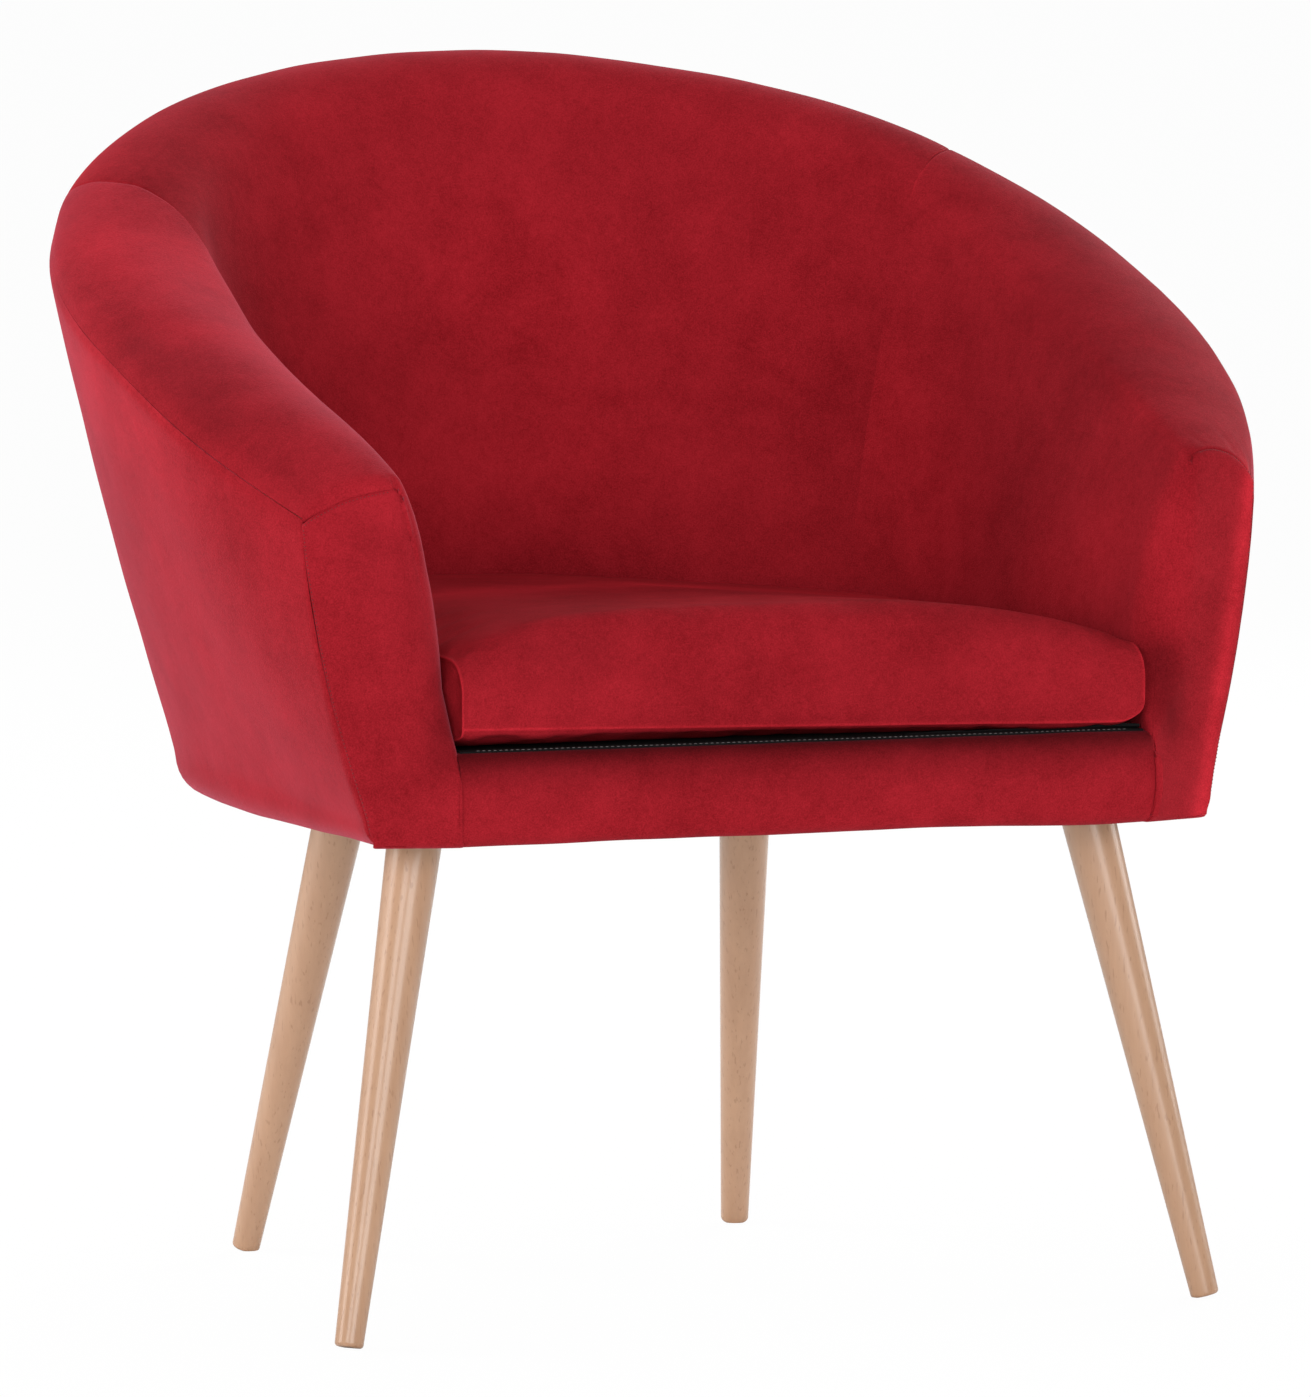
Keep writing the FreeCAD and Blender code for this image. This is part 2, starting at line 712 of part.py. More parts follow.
dust_top = base_height - dust_gap
dust_in = base_round + turn_under - dust_overlap
dust_back = block(-half_depth, half_depth, rail_soft_end - dust_overlap, half_depth, 0, back_height)
cloth = plan_block(dust_in, None, dust_top - dust_cloth, dust_top).common(dust_back)
for hole in leg_holes:
    cloth = cloth.cut(hole)
pieces["dust_cover"] = cloth

outer_form = cushion_form(0)
pieces["cushion_cover"] = outer_form.cut(cushion_form(cover_gauge))
pieces["cushion_core"] = cushion_form(cover_gauge + fit_gap)

os.makedirs("parts", exist_ok=True)
for node, shape in pieces.items():
    shape.exportStep("parts/" + node + ".step")
    print(node, len(shape.Solids), shape.isValid(), round(shape.Volume))
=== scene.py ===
import json
import math
import bpy
import numpy as np
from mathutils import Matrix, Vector, noise
from mathutils.kdtree import KDTree


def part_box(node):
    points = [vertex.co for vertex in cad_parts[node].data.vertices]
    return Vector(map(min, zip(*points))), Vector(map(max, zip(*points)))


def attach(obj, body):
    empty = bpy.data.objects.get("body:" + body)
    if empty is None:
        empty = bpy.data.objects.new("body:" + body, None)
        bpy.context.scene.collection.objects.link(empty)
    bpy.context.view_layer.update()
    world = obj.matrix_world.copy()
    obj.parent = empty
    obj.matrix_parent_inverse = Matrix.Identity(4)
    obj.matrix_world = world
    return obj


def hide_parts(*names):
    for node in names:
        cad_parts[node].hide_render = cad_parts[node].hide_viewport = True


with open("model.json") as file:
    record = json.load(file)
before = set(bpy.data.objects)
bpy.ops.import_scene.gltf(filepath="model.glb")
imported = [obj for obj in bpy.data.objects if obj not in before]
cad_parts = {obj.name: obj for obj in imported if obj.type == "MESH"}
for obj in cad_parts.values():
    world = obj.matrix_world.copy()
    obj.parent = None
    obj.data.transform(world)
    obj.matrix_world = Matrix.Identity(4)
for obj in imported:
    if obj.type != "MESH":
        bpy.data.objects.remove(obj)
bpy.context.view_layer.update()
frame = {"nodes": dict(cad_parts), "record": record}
mm = 0.001
print("frame loaded:", len(frame["nodes"]), "nodes")


# Small helpers

def onlySelect(piece):
    bpy.ops.object.select_all(action="DESELECT")
    piece.select_set(True)
    bpy.context.view_layer.objects.active = piece


def applyModifiers(piece):
    onlySelect(piece)
    for modifier in list(piece.modifiers):
        bpy.ops.object.modifier_apply(modifier=modifier.name)


def readPlaces(piece, what="co"):
    # the points' places, or their normals
    flat = np.empty(len(piece.data.vertices) * 3)
    piece.data.vertices.foreach_get(what, flat)
    return flat.reshape(-1, 3)


def writePlaces(piece, places):
    piece.data.vertices.foreach_set("co", np.asarray(places, dtype=float).ravel())
    piece.data.update()


def smoothStep(value, low, high):
    t = np.clip((value - low) / (high - low), 0, 1)
    return t * t * (3 - 2 * t)


def unit(vectors):
    return vectors / np.maximum(np.linalg.norm(vectors, axis=-1, keepdims=True), 1e-12)


def lineRun(points):
    # how far along a line each of its points is
    return np.concatenate([[0], np.cumsum(np.linalg.norm(np.diff(points, axis=0), axis=1))])


def pointTree(points):
    tree = KDTree(len(points))
    for k, point in enumerate(points):
        tree.insert(point, k)
    tree.balance()
    return tree


def lineDistance(line, places):
    tree = pointTree(line)
    return np.array([tree.find(place)[2] for place in places])


def gridPiece(name, places):
    # a grid primitive whose points are then moved to their places: rows, columns, xyz
    rows, cols = places.shape[:2]
    bpy.ops.object.select_all(action="DESELECT")
    bpy.ops.mesh.primitive_grid_add(x_subdivisions=cols - 1, y_subdivisions=rows - 1, size=2)
    piece = bpy.context.object
    piece.name = name
    start = readPlaces(piece)
    col = np.rint((start[:, 0] + 1) / 2 * (cols - 1)).astype(int)
    row = np.rint((start[:, 1] + 1) / 2 * (rows - 1)).astype(int)
    writePlaces(piece, places[row, col])
    return piece


def joinPieces(name, pieces, weld=0.02 * mm):
    bpy.ops.object.select_all(action="DESELECT")
    for piece in pieces:
        piece.select_set(True)
    bpy.context.view_layer.objects.active = pieces[0]
    bpy.ops.object.join()
    piece = bpy.context.object
    piece.name = name
    bpy.ops.object.mode_set(mode="EDIT")
    bpy.ops.mesh.select_all(action="SELECT")
    bpy.ops.mesh.remove_doubles(threshold=weld)
    bpy.ops.mesh.normals_make_consistent(inside=False)
    bpy.ops.object.mode_set(mode="OBJECT")
    return piece


def giveThickness(piece, thickness):
    shell = piece.modifiers.new("cloth", "SOLIDIFY")
    shell.thickness = thickness
    shell.offset = -1
    applyModifiers(piece)


def smoothShade(piece, degrees=55):
    onlySelect(piece)
    bpy.ops.object.shade_smooth_by_angle(angle=math.radians(degrees))


def ripple(along, seed, wave):
    # an uneven wave along a seam
    rng = np.random.default_rng(seed)
    total = 0
    for k in range(6):
        total = total + np.sin(along / (wave * rng.uniform(0.6, 1.9)) * math.tau + rng.uniform(0, math.tau))
    return total / 3


def surfaceNormals(places):
    return unit(np.cross(np.gradient(places, axis=1), np.gradient(places, axis=0)))


def runLengths(places, axis):
    steps = np.linalg.norm(np.diff(places, axis=axis), axis=2)
    zero = np.zeros_like(np.take(steps, [0], axis=axis))
    return np.cumsum(np.concatenate([zero, steps], axis=axis), axis=axis)


# The tub's shape: ribs 0 to 6 run from the middle of the back round to the arm front.
# Sizes are in metres, and the tables from "x" to "crown" are shares of a size at each rib.

tub = {
    "halfDepth": 0.315, "baseHeight": 0.315, "deckRise": 0.056, "armHeight": 0.518, "backHeight": 0.742,
    "seatHalfWidth": 0.236, "seatDepth": 0.460, "wallFoot": 0.094, "rimReach": 0.158, "rimLean": 0.069,
    "rimInnerRise": 0.021, "rimCrown": 0.032, "outerBulge": 0.008, "innerBulge": 0.011, "baseRound": 0.024,
    "x": (0.0, 0.445, 0.77, 0.93, 0.985, 1.0, 1.0),
    "y": (0.0, 0.035, 0.16, 0.34, 0.555, 0.775, 1.0),
    "swing": (0.0, 0.31, 0.60, 0.845, 0.955, 0.89, 0.74),
    "foot": (1.0, 0.96, 0.81, 0.57, 0.46, 0.455, 0.585),
    "reach": (1.0, 0.995, 0.975, 0.99, 0.93, 0.83, 0.635),
    "lean": (1.0, 0.95, 0.89, 0.84, 0.66, 0.52, 0.52),
    "rise": (1.0, 0.94, 0.79, 0.562, 0.36, 0.19, 0.0),
    "tilt": (0.14, 0.33, 0.43, 0.48, 0.52, 0.71, 1.0),
    "crown": (1.0, 0.89, 0.79, 0.68, 0.57, 0.46, 0.36),
    "seamRib": 2.0, "frontRib": 6.0,
    # the rear seam leans: its rib at these shares of the way over the rim
    "slantShares": (0.0, 0.02, 0.10, 0.15, 0.24, 0.33, 0.41, 0.52, 0.62, 0.72, 0.82, 1.0),
    "slantLeft": (2.92, 2.82, 2.67, 2.58, 2.51, 2.46, 2.41, 2.38, 2.33, 2.27, 2.22, 2.08),
    "slantRight": (2.33, 2.33, 2.32, 2.32, 2.31, 2.29, 2.28, 2.26, 2.22, 2.18, 2.13, 2.02),
    "slantFoot": (3.1, 2.2),     # left and right
    # padding that fills the rim's inner edge out: how much, at which rib, over how many,
    # and its reach below and above
    "fullness": (9 * mm, 3.15, 0.58, 0.050, 0.034),
    "baseRounds": ((3.5, 5.5), (0.024, 0.015)),          # how round the bottom edge is, by rib
    "wallRows": 78, "rimRows": 34,
    "clothThickness": 0.0022,
    "rimSmoothing": 34, "wallSmoothing": 8,      # passes that round the rim's inner edge and the outside
    "tuck": 13 * mm,             # how far the inside velvet goes down below the platform
    "rimStart": 4 * mm,          # how far below the inner edge the rim's rows begin
    "rimGap": 0.6 * mm, "turnUnder": 10 * mm,    # the outside's top edge below the rim, and its width under the chair
    # radius of the arm front's inner edge at these heights
    "cornerHeights": (0.315, 0.354, 0.362, 0.371, 0.388, 0.410, 0.450, 0.485, 0.515, 0.535, 0.560),
    "cornerRadii": (0.0005, 0.0006, 0.0025, 0.007, 0.0165, 0.0245, 0.023, 0.0195, 0.0125, 0.0085, 0.008),
    "step": 0.0034,              # mesh size
}
deckHeight = tub["baseHeight"] + tub["deckRise"]
footBack = tub["halfDepth"] - tub["rimReach"]
frontCorner = footBack - tub["seatDepth"]
nip = 1 - math.sqrt(0.5)        # how far a round corner's middle stands in from its sides, for a radius of 1


def throughTable(name, odd=False):
    # a smooth curve through a table of rib values, mirrored to the left side
    values = tub[name]
    count = len(values)
    x = np.arange(1 - count, count)
    y = np.array([values[abs(k)] * (-1 if odd and k < 0 else 1) for k in x])
    size = len(x)
    matrix = np.eye(size)
    right = np.zeros(size)
    right[0] = (-11 * y[0] + 18 * y[1] - 9 * y[2] + 2 * y[3]) / 6
    right[-1] = (11 * y[-1] - 18 * y[-2] + 9 * y[-3] - 2 * y[-4]) / 6
    for k in range(1, size - 1):
        matrix[k, k - 1:k + 2] = (1, 4, 1)
        right[k] = 3 * (y[k + 1] - y[k - 1])
    slopes = np.linalg.solve(matrix, right)

    def value(station):
        k = int(np.clip(math.floor(station) - x[0], 0, size - 2))
        t = station - x[k]
        a, b = y[k], y[k + 1]
        return ((2 * t ** 3 - 3 * t ** 2 + 1) * a + (t ** 3 - 2 * t ** 2 + t) * slopes[k]
                + (3 * t ** 2 - 2 * t ** 3) * b + (t ** 3 - t ** 2) * slopes[k + 1])
    return value


curves = {name: throughTable(name, odd=name in ("x", "swing")) for name in
          ("x", "y", "swing", "foot", "reach", "lean", "rise", "tilt", "crown")}


def footAt(station):
    return np.array([curves["x"](station) * tub["seatHalfWidth"], footBack - curves["y"](station) * tub["seatDepth"]])


class Rib:
    # an upright section through the tub

    def __init__(self, station):
        self.station = station
        self.baseRound = np.interp(station, *tub["baseRounds"])
        angle = math.pi / 2 - curves["swing"](station) * math.pi / 2
        self.out = np.array([math.cos(angle), math.sin(angle)])
        self.foot = footAt(station)
        self.bottom = curves["foot"](station) * tub["wallFoot"]
        self.reach = curves["reach"](station) * tub["rimReach"]
        self.lean = curves["lean"](station) * tub["rimLean"]
        self.rimZ = tub["armHeight"] + curves["rise"](station) * (tub["backHeight"] - tub["armHeight"])
        self.innerZ = self.rimZ + curves["tilt"](station) * tub["rimInnerRise"]
        self.crown = curves["crown"](station) * tub["rimCrown"]

    def place(self, flat):
        # from (offset, height) in the rib's plane to the chair
        flat = np.asarray(flat)
        return np.concatenate([self.foot + flat[..., :1] * self.out, flat[..., 1:]], axis=-1)

    def outer(self, height):
        u = (height - tub["baseHeight"]) / (self.rimZ - tub["baseHeight"])
        return self.bottom + (self.reach - self.bottom) * u + tub["outerBulge"] * 4 * u * (1 - u)

    def inner(self, height):
        u = (height - deckHeight) / (self.innerZ - deckHeight)
        return self.lean * u - tub["innerBulge"] * 4 * u * (1 - u)

    def outerPoint(self, height):
        return (self.outer(height), height)

    def innerPoint(self, height):
        return (self.inner(height), height)


def arcThrough(a, b, c, count):
    (ax, ay), (bx, by), (cx, cy) = a, b, c
    d = 2 * (ax * (by - cy) + bx * (cy - ay) + cx * (ay - by))
    ux = ((ax * ax + ay * ay) * (by - cy) + (bx * bx + by * by) * (cy - ay) + (cx * cx + cy * cy) * (ay - by)) / d
    uy = ((ax * ax + ay * ay) * (cx - bx) + (bx * bx + by * by) * (ax - cx) + (cx * cx + cy * cy) * (bx - ax)) / d
    radius = math.hypot(ax - ux, ay - uy)
    start = math.atan2(ay - uy, ax - ux)
    sweep = (math.atan2(cy - uy, cx - ux) - start + math.pi) % math.tau - math.pi
    turn = start + sweep * np.linspace(0, 1, count)
    return np.stack([ux + radius * np.cos(turn), uy + radius * np.sin(turn)], axis=1)


def alongPath(path, distances):
    # points at these distances along a path
    run = lineRun(path)
    return np.stack([np.interp(distances, run, path[:, k]) for k in range(path.shape[1])], axis=1)


def pathLength(path):
    return float(np.linalg.norm(np.diff(path, axis=0), axis=1).sum())


def evenPath(path, passes):
    # the path in even steps, and smoothed
    path = alongPath(path, np.linspace(0, pathLength(path), 320))
    for _ in range(passes):
        path[1:-1] = path[1:-1] / 2 + (path[:-2] + path[2:]) / 4
    return path


def insidePath(rib):
    # up the inside, over the rim and down to its outer edge
    low = deckHeight - tub["tuck"]
    middle = (low + rib.innerZ) / 2
    innerEdge = rib.innerPoint(rib.innerZ)
    outerEdge = rib.outerPoint(rib.rimZ)
    top = ((innerEdge[0] + outerEdge[0]) / 2, (innerEdge[1] + outerEdge[1]) / 2 + rib.crown)
    wall = arcThrough(rib.innerPoint(low), rib.innerPoint(middle), innerEdge, 120)
    over = arcThrough(innerEdge, top, outerEdge, 120)
    path = evenPath(np.concatenate([wall, over[1:]]), tub["rimSmoothing"])
    amount, station, spread, below, above = tub["fullness"]
    run = np.linspace(0, pathLength(path), len(path))
    gap = run - run[int(np.argmax(path[:, 1] > rib.innerZ - tub["rimStart"]))]
    full = amount * math.exp(-((abs(rib.station) - station) / spread) ** 2)
    path[:, 0] -= full * np.exp(-(gap / np.where(gap > 0, above, below)) ** 2)
    return path


def outsidePath(rib):
    # down the outside, round the bottom edge and a little way in under the chair
    base = tub["baseHeight"]
    radius = rib.baseRound
    high = rib.rimZ - tub["rimGap"]
    low = base + radius
    bend = rib.outer(low)
    wall = arcThrough(rib.outerPoint(high), rib.outerPoint((high + low) / 2), rib.outerPoint(low), 160)
    turn = arcThrough((bend, low), (bend - radius * nip, base + radius * nip), (bend - radius, base), 40)
    under = np.array([(bend - radius - tub["turnUnder"], base)])
    return evenPath(np.concatenate([wall, turn[1:], under]), tub["wallSmoothing"])


seamSteps = np.array([0, 0.5, 1.1, 1.8, 2.7, 4.0, 6.0, 8.6]) * mm


def marks(length, count, seamAtStart, seamAtEnd):
    # distances along a path, crowded at its seams
    start = seamSteps if seamAtStart else seamSteps[:1]
    end = length - seamSteps[::-1] if seamAtEnd else np.array([length])
    return np.concatenate([start, np.linspace(start[-1], end[0], count)[1:-1], end])


def ribStations(first, last, seamAtStart, seamAtEnd):
    # stations along the rim, crowded at the seams
    stations = np.linspace(first, last, 400)
    rim = np.array([Rib(s).place(Rib(s).innerPoint(Rib(s).innerZ)) for s in stations])
    run = lineRun(rim)
    count = int(run[-1] / tub["step"])
    return np.interp(marks(run[-1], count, seamAtStart, seamAtEnd), run, stations)


def outsideGrid(stations):
    ribs = [Rib(s) for s in stations]
    paths = [outsidePath(rib) for rib in ribs]
    lengths = [pathLength(path) for path in paths]
    count = int(np.mean(lengths) / tub["step"])
    return np.stack([rib.place(alongPath(path, marks(length, count, True, False)))
                     for rib, path, length in zip(ribs, paths, lengths)], axis=1)


def insideFlat(rib):
    # the inside section's points, crowded where the rim begins and at its outer edge
    path = insidePath(rib)
    run = lineRun(path)
    start = run[int(np.argmax(path[:, 1] > rib.innerZ - tub["rimStart"]))]
    wall = marks(start, tub["wallRows"], False, True)
    over = marks(run[-1] - start, tub["rimRows"], True, True)
    return alongPath(path, np.concatenate([wall, start + over[1:]])), over / over[-1]


corner = len(marks(1.0, tub["wallRows"], False, True)) - 1      # the row where the rim begins


def rearStations(side):
    # the rear seam's rib at each row of the inside
    over = insideFlat(Rib(2.2))[1]
    slant = np.interp(over, tub["slantShares"], tub["slantRight" if side > 0 else "slantLeft"])
    slant = np.convolve(np.pad(slant, 2, mode="edge"), np.ones(5) / 5, mode="valid")
    wall = np.linspace(tub["slantFoot"][0 if side < 0 else 1], slant[0], corner + 1)
    return np.concatenate([wall, slant[1:]])


def insideGrid(rowStations, first, last):
    # rowStations: the station of every point, row by row
    dense = np.linspace(first, last, int(abs(last - first) * 55))
    table = np.stack([Rib(s).place(insideFlat(Rib(s))[0]) for s in dense], axis=1)
    grid = np.zeros(rowStations.shape + (3,))
    for row, stations in enumerate(rowStations):
        for k in range(3):
            grid[row, :, k] = np.interp(stations, dense, table[row, :, k])
    return grid


def filletEdge(places, edge, radius, otherLine, otherNormals):
    # round the panel towards its edge, where it meets the other panel
    turned = places if edge == "right" else places.transpose(1, 0, 2)
    normals = surfaceNormals(places)
    own = (normals if edge == "right" else normals.transpose(1, 0, 2))[:, -1]
    line = turned[:, -1]
    nearest = np.linalg.norm(line[:, None] - otherLine[None], axis=2).argmin(axis=1)
    other = otherNormals[nearest]
    cosine = np.clip((own * other).sum(axis=1), -0.5, 0.999)
    radius = np.broadcast_to(radius, cosine.shape)
    centre = line - (own + other) * (radius / (1 + cosine))[:, None]
    reach = radius * np.sqrt((1 - cosine) / (1 + cosine))
    tangent = unit(np.gradient(line, axis=0))[:, None]
    spoke = turned - centre[:, None]
    spoke = spoke - (spoke * tangent).sum(axis=2, keepdims=True) * tangent
    length = np.maximum(np.linalg.norm(spoke, axis=2), 1e-6)
    run = runLengths(turned, 1)
    blend = np.clip((reach[:, None] - (run[:, -1:] - run)) / np.maximum(0.3 * reach[:, None], 1e-6), 0, 1)
    moved = turned - spoke * ((1 - radius[:, None] / length) * blend)[..., None]
    return moved if edge == "right" else moved.transpose(1, 0, 2)


# Seams: each panel's edge is drawn in, and the cloth beside it puckers a little

seam = {"blend": 6 * mm, "slideReach": 28 * mm, "groove": 1.7 * mm, "grooveWidth": 2.2 * mm, "pull": 0.8 * mm,
        "pullReach": 8 * mm, "pucker": 0.9 * mm, "puckerReach": 13 * mm, "puckerWave": 17 * mm}


def sewnEdge(distance, along, seed, depth, pucker):
    groove = seam["groove"] * np.clip(1 - distance / seam["grooveWidth"], 0, 1) ** 2
    pull = seam["pull"] * np.exp(-distance / seam["pullReach"])
    rise = distance / seam["puckerReach"]
    folds = seam["pucker"] * rise * np.exp(1 - rise * 1.6) * ripple(along, seed, seam["puckerWave"])
    return pucker * folds - depth * (groove + pull)


def edgeDistance(places, edge):
    across = edge in ("left", "right")
    run = runLengths(places, 1 if across else 0)
    if edge in ("left", "low"):
        return run
    return (run[:, -1:] if across else run[-1:]) - run


def alongEdge(grid, edge):
    return {"left": grid[:, 0], "right": grid[:, -1], "low": grid[0], "high": grid[-1]}[edge]


def drawIn(places, edges, seed, partners=None):
    # edges: any of left, right, low, high, each with how deep and how puckered it is sewn, and perhaps
    # its tuck and reach. partners: the neighbour's edge and its normals, so that both are drawn the same way
    normals = surfaceNormals(places)
    plain = normals.copy()
    for edge, (line, otherNormals) in (partners or {}).items():
        mine = alongEdge(places, edge)
        nearest = np.linalg.norm(mine[:, None] - line[None], axis=2).argmin(axis=1)
        common = unit(alongEdge(plain, edge) + otherNormals[nearest])
        common = common[:, None] if edge in ("left", "right") else common[None]
        near = np.exp(-edgeDistance(places, edge) / seam["blend"])[..., None]
        normals = unit(normals * (1 - near) + common * near)
    shift = np.zeros(places.shape[:2])
    for k, (edge, (depth, pucker, *tuck)) in enumerate(edges.items()):
        across = edge in ("left", "right")
        depth = np.asarray(depth, dtype=float).reshape((-1, 1) if across else (1, -1))
        distance = edgeDistance(places, edge)
        shift += sewnEdge(distance, runLengths(places, 0 if across else 1), seed + k, depth, pucker * depth)
        if tuck:
            shift -= tuck[0] * np.exp(-(distance / tuck[1]) ** 2)
    return places + normals * shift[..., None]


def partner(grid, edge):
    return alongEdge(grid, edge).copy(), alongEdge(surfaceNormals(grid), edge)


def slideSeam(inside, front, slide):
    # move the dart along the cloth: down the arm's front, or up onto the rim where negative
    across = inside.shape[1]
    for k in range(front.shape[1]):
        strip = np.concatenate([inside[corner + k], front[-2::-1, k]])
        run = lineRun(strip)
        gap = run - run[across - 1]
        strip = alongPath(strip, run + slide[k] * np.exp(-(gap / seam["slideReach"]) ** 2))
        inside[corner + k] = strip[:across]
        front[:, k] = strip[across - 1:][::-1]


# how far the bottom edge hangs down
sag = {"all": 1.6 * mm, "right": 4.3 * mm, "left": 2.8 * mm, "reach": 50 * mm}


def loosen(piece, depth=0.9 * mm, size=0.1, seed=9):
    # gentle unevenness, as padded velvet has; panels that meet share theirs
    places = readPlaces(piece)
    normals = readPlaces(piece, "normal")
    offset = Vector((seed * 3.1, seed * 1.7, seed * 0.9))
    shift = np.array([noise.fractal(Vector(p) / size + offset, 0.8, 2.1, 2) for p in places])
    moved = places + normals * shift[:, None] * depth
    x, y, z = places.T
    drop = sag["all"] + sag["right"] * smoothStep(x, 0.05, 0.22)
    drop += sag["left"] * smoothStep(-x, 0.20, 0.30) * smoothStep(y, -0.27, -0.12)
    moved[:, 2] -= drop * (1 - smoothStep(z, tub["baseHeight"], tub["baseHeight"] + sag["reach"]))
    writePlaces(piece, moved)


def crease(piece, start, end, depth, width):
    # a soft fold along a line, drawn on the cloth as seen from the front
    places = readPlaces(piece)
    normals = readPlaces(piece, "normal")
    a, b = np.array(start), np.array(end)
    line = b - a
    flat = places[:, [0, 2]]
    t = np.clip(((flat - a) @ line) / (line @ line), 0, 1)
    distance = np.linalg.norm(flat - (a + t[:, None] * line), axis=1)
    fade = np.sin(np.clip(t * 0.94 + 0.03, 0, 1) * math.pi) ** 0.7
    facing = smoothStep(-normals[:, 1], 0.2, 0.6)
    shift = -np.exp(-(distance / width) ** 2) + 0.45 * np.exp(-((distance - 1.9 * width) / width) ** 2)
    writePlaces(piece, places + normals * (shift * fade * facing * depth)[:, None])


# Strokes painted into the pile's colour, most of them painted light and shade, the rest lighter or darker patches:
# start, end and reach in millimetres, and how much lighter or darker

toneAndShadeStrokes = {
    "armVelvetLeft": (
        # painted light on the rim's crest and inner band; painted shade along the rim's outer roll, over the front's
        # inner part and in its inner bottom corner beside the cushion
        ((-300, 110, 705), (-297, 10, 661), 38, 0.28),
        ((-295, -62, 630), (-288, -216, 572), 25, 0.13),
        ((-335, 30, 672), (-325, -85, 625), 30, 0.34),
        ((-361, -60, 622), (-361, -83, 615), 12, -0.10),
        ((-361, -83, 615), (-349, -186, 570), 17, -0.20),
        ((-338, -222, 553), (-325, -247, 540), 14, -0.14),
        ((-275, 27, 665), (-282, -150, 593), 24, 0.18),
        ((-280, -280, 500), (-262, -288, 450), 25, -0.13),
        ((-247, -296, 388), (-247, -298, 372), 12, -0.30)),
    "outsideVelvetLeft": (
        # painted light on the upper part of the side panel
        ((-370, -20, 600), (-360, -120, 560), 50, 0.22),),
    "armVelvetRight": (
        # painted shadow beside the cushion's right corner, painted light low on the inside wall, a painted sheen
        # along the front's outer edge, and painted shade along the rim
        ((250, -289, 412), (254, -296, 372), 15, -0.45),
        ((217, 74, 554), (232, 2, 488), 50, 0.25),
        ((240, -140, 450), (245, -210, 470), 45, 0.35),
        ((328, -264, 530), (281, -284, 315), 9, 0.6),
        ((270, -285, 500), (268, -287, 440), 22, 0.14),
        ((281, -59, 623), (274, -162, 585), 35, -0.20),
        ((263, -250, 545), (263, -262, 535), 25, -0.22),
        ((330, 20, 668), (335, -120, 610), 30, -0.15)),
    "backVelvet": (
        ((10, 196, 633), (30, 196, 620), 70, 0.25),
        ((165, 145, 610), (175, 138, 600), 60, 0.12),
        ((-270, 190, 735), (-310, 160, 715), 45, 0.18),
        ((-80, 170, 470), (50, 180, 500), 55, 0.18)),
    "frontRailVelvet": (
        # painted shade along the rail's top under the cushion's front, and a little painted light low on the rail
        ((-240, -301, 374), (240, -304, 370), 18, -0.70),
        ((-150, -312, 322), (236, -312, 322), 18, 0.05)),
    "cushion": (
        ((-225, -289, 436), (-150, -297, 431), 20, -0.15),
        ((100, -290, 443), (190, -280, 440), 20, -0.10),
        ((-150, -80, 447), (20, -30, 443), 40, 0.30),
        ((-60, -230, 452), (50, -230, 452), 40, 0.18),
        ((20, -20, 441), (180, 0, 428), 35, 0.22)),
}


def paintPileToneAndShade(piece, seams=()):
    # paints the strokes' light and shade and patches into the pile's colour; seams: lines of points along which a
    # painted highlight runs, each with reach and amount
    places = readPlaces(piece)
    toneAndShade = np.zeros(len(places))
    for start, end, reach, amount in toneAndShadeStrokes.get(piece.name, ()):
        a, b = np.array(start) * mm, np.array(end) * mm
        t = np.clip(((places - a) @ (b - a)) / ((b - a) @ (b - a)), 0, 1)
        gap = np.linalg.norm(places - (a + t[:, None] * (b - a)), axis=1)
        toneAndShade += amount * np.exp(-(gap / (reach * mm)) ** 2)
    for line, reach, amount in seams:
        toneAndShade += amount * np.exp(-(lineDistance(line, places) / reach) ** 2)
    # the painted light and shade, kept per point
    field = piece.data.attributes.new("toneAndShade", "FLOAT", "POINT")
    field.data.foreach_set("value", np.clip(toneAndShade, -0.9, 0.9))


# Rounded inner edge of the arm front, worked out in plan at each height

frontRib = Rib(tub["frontRib"])
wedgeHalf = math.atan2(frontRib.out[0], frontRib.out[1]) / 2
backward = np.array([-frontRib.out[1], frontRib.out[0], 0])      # straight back from the arm's front


def cornerRadius(height):
    # the table of radii, blurred over a few millimetres
    levels = np.arange(0.30, 0.58, 0.001)
    radii = np.interp(levels, tub["cornerHeights"], tub["cornerRadii"])
    blur = np.exp(-(np.arange(-20, 21) / 4.0) ** 2)
    radii = np.convolve(np.pad(radii, 20, mode="edge"), blur / blur.sum(), mode="valid")
    return np.interp(height, levels, radii)


def roundCorner(places):
    height = places[..., 2]
    radius = cornerRadius(height)
    level = np.clip(height, deckHeight, frontRib.innerZ)
    apex = frontRib.foot + frontRib.inner(level)[..., None] * frontRib.out
    centre = apex + np.stack([radius, radius / math.tan(wedgeHalf)], axis=-1)
    spoke = places[..., :2] - centre
    angle = np.arctan2(spoke[..., 1], spoke[..., 0]) % math.tau
    faceAngle = math.tau - wedgeHalf * 2
    factor = np.cos(np.maximum(np.minimum(angle - math.pi, faceAngle - angle), 0))
    return np.concatenate([centre + spoke * factor[..., None], places[..., 2:]], axis=-1)


